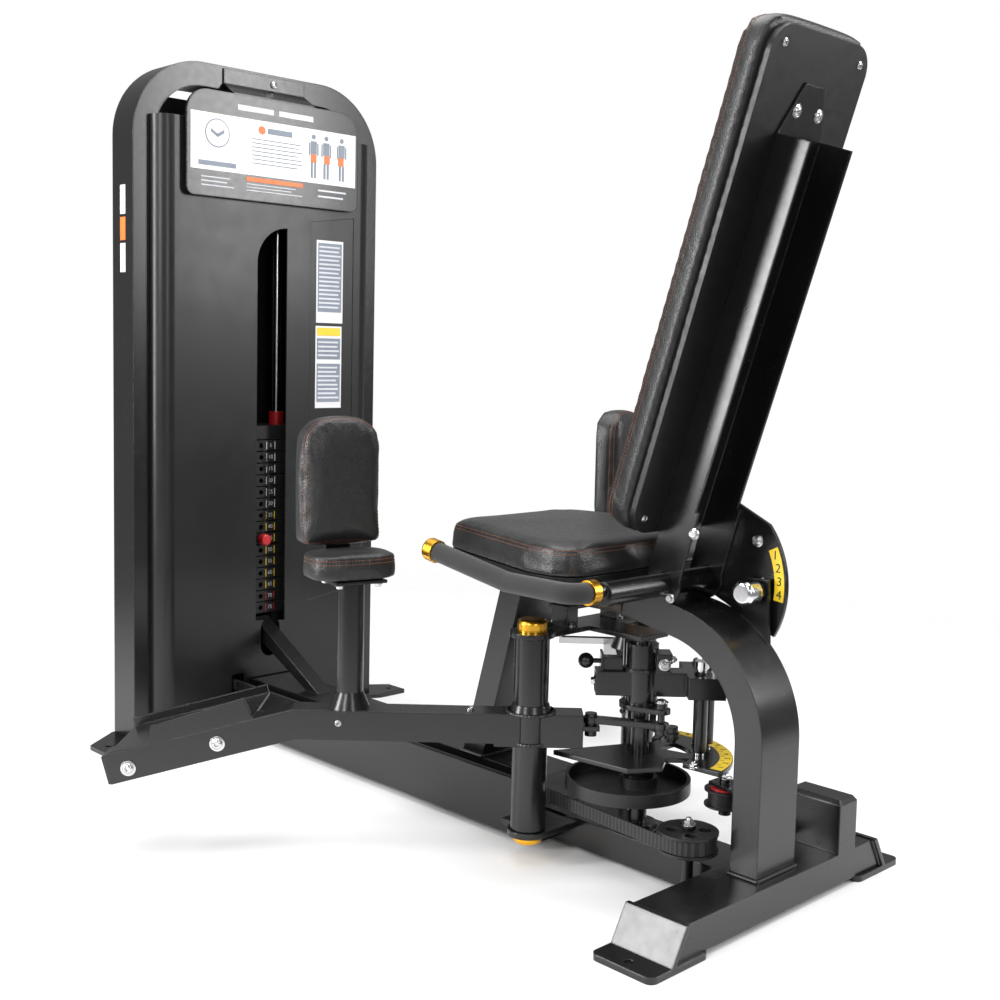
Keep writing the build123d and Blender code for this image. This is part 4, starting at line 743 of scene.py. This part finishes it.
hex_bolt(drum_nut, (0.049, 0.105, 0.168), UP, 0.008, 0.007, 0.004)

# Crank fittings
lever_a = math.radians(-44.27)
LEVER_U = Vector((math.cos(lever_a), math.sin(lever_a), 0))
LEVER_V = Vector((-math.sin(lever_a), math.cos(lever_a), 0))
DRIVE = Vector((0, 0.247, 0))


def lever(u, v, z):
    return DRIVE + LEVER_U * u + LEVER_V * v + UP * z


crank_bolts = bag("crank_bolts", STEEL, "crank_arm")
hex_bolt(crank_bolts, lever(0.033, -0.034, 0.345), -LEVER_V, 0.0075, 0.007, 0.005)
hex_bolt(crank_bolts, lever(0.046, -0.014, 0.350), LEVER_U, 0.006, 0.006, 0.003)
hex_bolt(crank_bolts, lever(-0.078, 0.0, 0.308), -LEVER_U, 0.0065, 0.006)
hex_bolt(crank_bolts, lever(0.100, 0.066, 0.326), UP, 0.006, 0.006, 0.003)
dome_bolt(crank_bolts, Vector((-0.008, 0.197, 0.284)), UP, 0.0085)
cam_bolts = bag("cam_bolts", STEEL, "range_cam")
for angle in (-90, -20, 20):
    a = math.radians(angle)
    at = DRIVE + Vector((0.112 * math.cos(a), 0.112 * math.sin(a), 0.188))
    hex_bolt(cam_bolts, at, UP, 0.0065, 0.006, 0.004)

# ------------------------------------------------------------------ printed scales
X, Y = Vector((1, 0, 0)), Vector((0, 1, 0))
sector_bolt = math.radians(36)
dome_bolt(back_bolts, (0.0568, 0.165 - 0.122 * math.cos(sector_bolt), 0.490 + 0.122 * math.sin(sector_bolt)),
          (-1, 0, 0), 0.0075)
index = bag("index_strip", YELLOW, "backrest")
index_ink = bag("index_numbers", INK, "backrest")
# On the sector's left face the strip runs in the plane of -Y and Z
arc_band(index, (0.0568, 0.165, 0.490), -Y, UP, 0.133, 0.151, -8, 26, 0.0003)
for number, angle in enumerate((21.5, 13, 4.5, -4), 1):
    a = math.radians(angle)
    at = Vector((0.0564, 0.165, 0.490)) - Y * (0.142 * math.cos(a)) + UP * (0.142 * math.sin(a))
    digits(index_ink, str(number), at, -Y, UP, 0.020)
scale = bag("range_strip", YELLOW, "range_cam")
scale_ink = bag("range_numbers", INK, "range_cam")
arc_band(scale, DRIVE + UP * 0.1881, X, Y, 0.133, 0.154, -82, 22, 0.0003)
for number in range(1, 11):
    a = math.radians(-76 + (number - 1) * 10)
    out = X * math.cos(a) + Y * math.sin(a)
    across = Vector((-out.y, out.x, 0))
    digits(scale_ink, str(number), DRIVE + out * 0.146 + UP * 0.1885, across, -out, 0.013)
    a += math.radians(5)
    tick = X * math.cos(a) + Y * math.sin(a)
    slab(scale_ink, DRIVE + tick * 0.138 + UP * 0.1885, tick, UP.cross(tick), 0.0035, 0.0004, 0.0003)

# Plate number tags
PLATE_X = 0.0245
for plate in range(15):
    z = 0.629 - 0.0265 * plate
    lifted = plate < 9
    body = "weight_stack" if lifted else FRAME_BODY
    stem = "lifted_" if lifted else "resting_"
    kind, tone = "white", PALE_PRINT
    if 6 <= plate < 13:
        kind, tone = "yellow", YELLOW
    elif plate >= 13:
        kind, tone = "red", MATERIALS["red_rubber"]
    slab(bag(stem + "tags", INK, body), (PLATE_X, 1.3689, z), X, UP, 0.0125, 0.0095, 0.0004)
    marks = bag(stem + "marks_" + kind, tone, body)
    for side in (-1, 1):
        slab(marks, (PLATE_X + side * 0.0112, 1.3684, z), X, UP, 0.0011, 0.0085, 0.0003)
    digits(bag(stem + "numbers", PALE_PRINT, body), str(5 * (plate + 1)), (PLATE_X, 1.3684, z), X, UP, 0.0125)

# ------------------------------------------------------------------ labels


def print_bars(target, x0, x1, z0, z1, rows, y, fill=0.5, ragged=0.25):
    # Rows of plain bars standing in for small print
    pitch = (z1 - z0) / rows
    for row in range(rows):
        z = z1 - pitch * (row + 0.5)
        end = x1 - (x1 - x0) * ragged * (0.5 + 0.5 * math.sin(row * 2.4))
        slab(target, ((x0 + end) / 2, y, z), X, UP, (end - x0) / 2, pitch * fill / 2, 0.0002)


white = bag("label_blanks", MATERIALS["panel_white"], FRAME_BODY, "panel_white")
grey = bag("label_print", GREY_PRINT, FRAME_BODY)
pale = bag("label_rows", PALE_PRINT, FRAME_BODY)
yellow = bag("label_header", YELLOW, FRAME_BODY)
label_y = 1.3314
for x0, x1, z0, z1 in ((0.120, 0.195, 0.909, 1.096), (0.119, 0.193, 0.714, 0.902)):
    slab(white, ((x0 + x1) / 2, label_y, (z0 + z1) / 2), X, UP, (x1 - x0) / 2, (z1 - z0) / 2, 0.0004)
slab(grey, (0.1575, label_y - 0.0005, 1.012), X, UP, 0.0335, 0.078, 0.0002)
print_bars(pale, 0.127, 0.188, 0.940, 1.086, 15, label_y - 0.0008, 0.42, 0.1)
slab(yellow, (0.156, label_y - 0.0005, 0.889), X, UP, 0.033, 0.009, 0.0002)
slab(grey, (0.156, label_y - 0.0005, 0.850), X, UP, 0.033, 0.024, 0.0002)
print_bars(pale, 0.126, 0.186, 0.830, 0.870, 4, label_y - 0.0008, 0.42, 0.1)
slab(grey, (0.156, label_y - 0.0005, 0.772), X, UP, 0.033, 0.044, 0.0002)
print_bars(pale, 0.126, 0.186, 0.733, 0.812, 8, label_y - 0.0008, 0.42, 0.15)

panel_low, panel_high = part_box("placard_panel")
panel_y = panel_low.y - 0.0003
orange = bag("panel_accent", ORANGE, FRAME_BODY)
panel_ink = bag("panel_print", GREY_PRINT, FRAME_BODY)
pz0, pz1 = panel_low.z, panel_high.z
px0, px1 = panel_low.x, panel_high.x
tall = pz1 - pz0
print_bars(panel_ink, px0 + 0.150, px0 + 0.285, pz0 + 0.022, pz1 - 0.036, 7, panel_y, 0.22, 0.12)
lathe(orange, (px0 + 0.175, panel_y, pz1 - 0.020), (0, -1, 0), [(0.009, 0), (0.009, 0.0003)], 24)
slab(panel_ink, (px0 + 0.222, panel_y, pz1 - 0.020), X, UP, 0.032, 0.006, 0.0002)
for fx, lean_x in ((px1 - 0.118, 0.0), (px1 - 0.083, 0.002), (px1 - 0.040, -0.002)):
    lathe(panel_ink, (fx, panel_y, pz0 + tall * 0.86), (0, -1, 0), [(0.0055, 0), (0.0055, 0.0003)], 20)
    slab(panel_ink, (fx, panel_y, pz0 + tall * 0.66), X, UP, 0.0085, 0.014, 0.0002)
    slab(orange, (fx + lean_x, panel_y, pz0 + tall * 0.46), X, UP, 0.0080, 0.009, 0.0002)
    for side in (-1, 1):
        slab(panel_ink, (fx + side * 0.0045, panel_y, pz0 + tall * 0.24), X, UP, 0.0028, 0.017, 0.0002)
        slab(panel_ink, (fx + side * 0.0118, panel_y, pz0 + tall * 0.63), X, UP, 0.0016, 0.014, 0.0002)
lathe(panel_ink, (px0 + 0.064, panel_y, pz0 + tall * 0.66), (0, -1, 0), [(0.030, 0), (0.030, 0.0003)], 40)
lathe(bag("panel_disc", MATERIALS["panel_white"], FRAME_BODY, "panel_white"),
      (px0 + 0.064, panel_y - 0.0003, pz0 + tall * 0.66), (0, -1, 0), [(0.0275, 0), (0.0275, 0.0002)], 40)
for side in (-1, 1):
    slab(panel_ink, (px0 + 0.064 + side * 0.008, panel_y - 0.0005, pz0 + tall * 0.66), (1, 0, side * 0.6), UP,
         0.010, 0.004, 0.0002)
slab(panel_ink, (px0 + 0.064, panel_y, pz0 + 0.014), X, UP, 0.046, 0.005, 0.0002)
title = bag("placard_title", PALE_PRINT, FRAME_BODY)
title_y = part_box("placard_panel")[1].y - 0.0003
slab(title, (-0.055, title_y, pz1 + 0.021), X, UP, 0.046, 0.006, 0.0003)
slab(title, (0.050, title_y, pz1 + 0.021), X, UP, 0.046, 0.006, 0.0003)
print_bars(title, -0.190, -0.110, pz0 - 0.036, pz0 - 0.010, 3, title_y, 0.3)
slab(bag("panel_accent", ORANGE, FRAME_BODY), (-0.005, title_y, pz0 - 0.009), X, UP, 0.074, 0.0048, 0.0003)
print_bars(title, -0.078, 0.068, pz0 - 0.036, pz0 - 0.016, 3, title_y, 0.3)
print_bars(title, 0.110, 0.200, pz0 - 0.034, pz0 - 0.008, 2, title_y, 0.3)
decal_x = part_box("tower_hoop")[0].x + 0.0001
for z, half, tone in ((1.150, 0.030, PALE_PRINT), (1.090, 0.024, ORANGE), (1.030, 0.030, PALE_PRINT)):
    stripe = bag("side_stripe_" + tone.name, tone, FRAME_BODY)
    slab(stripe, (decal_x, 1.410, z), -Y, UP, 0.011, half, 0.0003)

# Red hub of the idler
hub = bag("idler_hub", MATERIALS["red_rubber"], "idler_wheel", "red_rubber")
idler_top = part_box("idler_pulley")[1].z
lathe(hub, (0.049, 0.105, idler_top), UP, [(0.024, 0), (0.024, 0.002), (0.017, 0.002), (0.017, 0.0001)], 36)

# ------------------------------------------------------------------ lanyard, strap, welds, rod nuts
pin_low, pin_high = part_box("selector_pin")
knob = Vector(((pin_low.x + pin_high.x) / 2, pin_low.y + 0.006, (pin_low.z + pin_high.z) / 2))
top_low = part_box("stack_top_plate")[0]
lanyard = {"v": [], "f": []}
route = []
for k in range(181):
    f = k / 180
    hang = Vector((0.020 * math.sin(math.pi * f) - 0.004, 1.3625, 0)) + UP * (
        knob.z + (top_low.z + 0.004 - knob.z) * f)
    start = knob + UP * 0.010
    p = start.lerp(hang, min(1.0, f * 12))
    a = f * 2 * math.pi * 34
    p += Vector((0.0028 * math.cos(a), 0.0028 * math.sin(a) * 0.5, 0)) * min(1.0, f * 10)
    route.append(p)
tube(lanyard, spaced(route, 0.0012), 0.0009, 6)
cord_mesh = bpy.data.meshes.new("pin_lanyard")
cord_mesh.from_pydata(lanyard["v"], [], lanyard["f"])
cord_mesh.polygons.foreach_set("use_smooth", [True] * len(cord_mesh.polygons))
cord_mesh.materials.append(CORD)
cord = bpy.data.objects.new("pin_lanyard", cord_mesh)
scene.collection.objects.link(cord)
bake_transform(cord)

# the strap is a loose copy of the CAD strap; the CAD piece is hidden
strap = bpy.data.objects.new("stack_strap", frame["nodes"]["strap_drop"].data.copy())
scene.collection.objects.link(strap)
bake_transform(strap)
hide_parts("strap_drop")

welds = bag("frame_welds", WELD, FRAME_BODY)


def rect_bead(x0, x1, y0, y1, z, radius=0.003):
    bead(welds, [(x0, y0, z), (x1, y0, z), (x1, y1, z), (x0, y1, z)], radius, True)


rect_bead(-0.0515, 0.0515, -0.0305, 0.0225, 0.0615)
rect_bead(-0.0515, 0.0515, 0.5745, 0.6295, 0.1115)
drive_ring = [(0.033 * math.cos(a), 0.247 + 0.033 * math.sin(a), 0.0605) for a in np.linspace(0, 6.283, 60)]
bead(welds, drive_ring, 0.0025)
for x in (-0.26, 0.26):
    for y in (-0.0505, 0.0505):
        bead(welds, [(x * 1.05, y, 0.0115), (x * 0.95, y, 0.0600)], 0.0028)

rod_caps = bag("rod_nuts", STEEL, FRAME_BODY)
for x in (-0.072, 0.072):
    lathe(rod_caps, (x, 1.417, 1.2805), UP, [(0.014, 0), (0.014, 0.010), (0.012, 0.012)], 6)

for name, data in bags.items():
    if data["v"]:
        build(name, data)

# ------------------------------------------------------------------ floor, light, camera
floor_mesh = bpy.data.meshes.new("floor")
R = 30.0
floor_mesh.from_pydata([(-R, -R, 0), (R, -R, 0), (R, R, 0), (-R, R, 0)], [], [[0, 1, 2, 3]])
floor = bpy.data.objects.new("floor", floor_mesh)
scene.collection.objects.link(floor)
paper = surface("floor", (0.90, 0.90, 0.90), 0.6, alt=(0.92, 0.92, 0.92), grain=(40.0, 0.02, 0.0005),
                rough_span=0.05)
floor_mesh.materials.append(paper)
t = paper.node_tree
finish_node = next(n for n in t.nodes if n.type == "OUTPUT_MATERIAL")
lit = next(n for n in t.nodes if n.type == "BSDF_PRINCIPLED").outputs[0]
floor_at = node(t, "TexCoord").outputs["Object"]
centred = node(t, "Mapping", Vector=floor_at, Location=(0.0, -0.7, 0.0)).outputs[0]
distance = node(t, "VectorMath", {"operation": "LENGTH"})
t.links.new(centred, distance.inputs[0])
fade = node(t, "MixShader", Fac=ramp(t, distance.outputs["Value"], 1.1, 2.6, 0.0, 1.0))
t.links.new(lit, fade.inputs[1])
t.links.new(node(t, "BsdfTransparent").outputs[0], fade.inputs[2])
t.links.new(fade.outputs[0], finish_node.inputs[0])

world = bpy.data.worlds.new("studio")
scene.world = world
world.use_nodes = True
sky = world.node_tree
seen = node(sky, "LightPath").outputs["Is Camera Ray"]
sky.links.new(ramp(sky, seen, 0.0, 1.0, 0.30, 1.0), sky.nodes["Background"].inputs[1])
sky.nodes["Background"].inputs[0].default_value = (1, 1, 1, 1)


def area(name, at, toward, size, power):
    # Soft box aimed at a point
    lamp = bpy.data.lights.new(name, "AREA")
    lamp.shape = "RECTANGLE"
    lamp.size, lamp.size_y = size
    lamp.energy = power
    holder = bpy.data.objects.new(name, lamp)
    scene.collection.objects.link(holder)
    holder.location = at
    holder.rotation_euler = (Vector(toward) - Vector(at)).to_track_quat("-Z", "Y").to_euler()


area("key", (-3.0, 2.1, 1.5), (0, 0.6, 0.7), (0.8, 2.2), 120)
area("left", (-3.6, -0.4, 2.2), (0, 0.7, 0.6), (0.6, 2.2), 60)
area("rim", (2.2, -2.2, 2.2), (0, 0.3, 0.6), (0.8, 2.4), 90)
area("front", (-1.6, -3.2, 1.8), (0, 0.6, 0.6), (0.7, 1.8), 30)
area("top", (0.0, 0.7, 3.8), (0, 0.7, 0), (3.6, 3.6), 150)

CAMERA_AT = Vector((-1.6795, -1.1237, 0.8482))
yaw, pitch, roll = math.radians(44.24), math.radians(5.07), math.radians(-1.26)
ahead = Vector((math.sin(yaw) * math.cos(pitch), math.cos(yaw) * math.cos(pitch), -math.sin(pitch)))
right = Vector((math.cos(yaw), -math.sin(yaw), 0))
down = ahead.cross(right)
c, s = math.cos(roll), math.sin(roll)
right, down = right * c + down * s, down * c - right * s
lens = bpy.data.cameras.new("camera")
lens.sensor_width = 36.0
lens.lens = 47.29
lens.shift_x = 0.0016
lens.shift_y = -0.030
camera = bpy.data.objects.new("camera", lens)
scene.collection.objects.link(camera)
camera.matrix_world = Matrix((
    (right.x, -down.x, -ahead.x, CAMERA_AT.x), (right.y, -down.y, -ahead.y, CAMERA_AT.y),
    (right.z, -down.z, -ahead.z, CAMERA_AT.z), (0, 0, 0, 1),
))
scene.camera = camera
scene.view_settings.view_transform = "Standard"
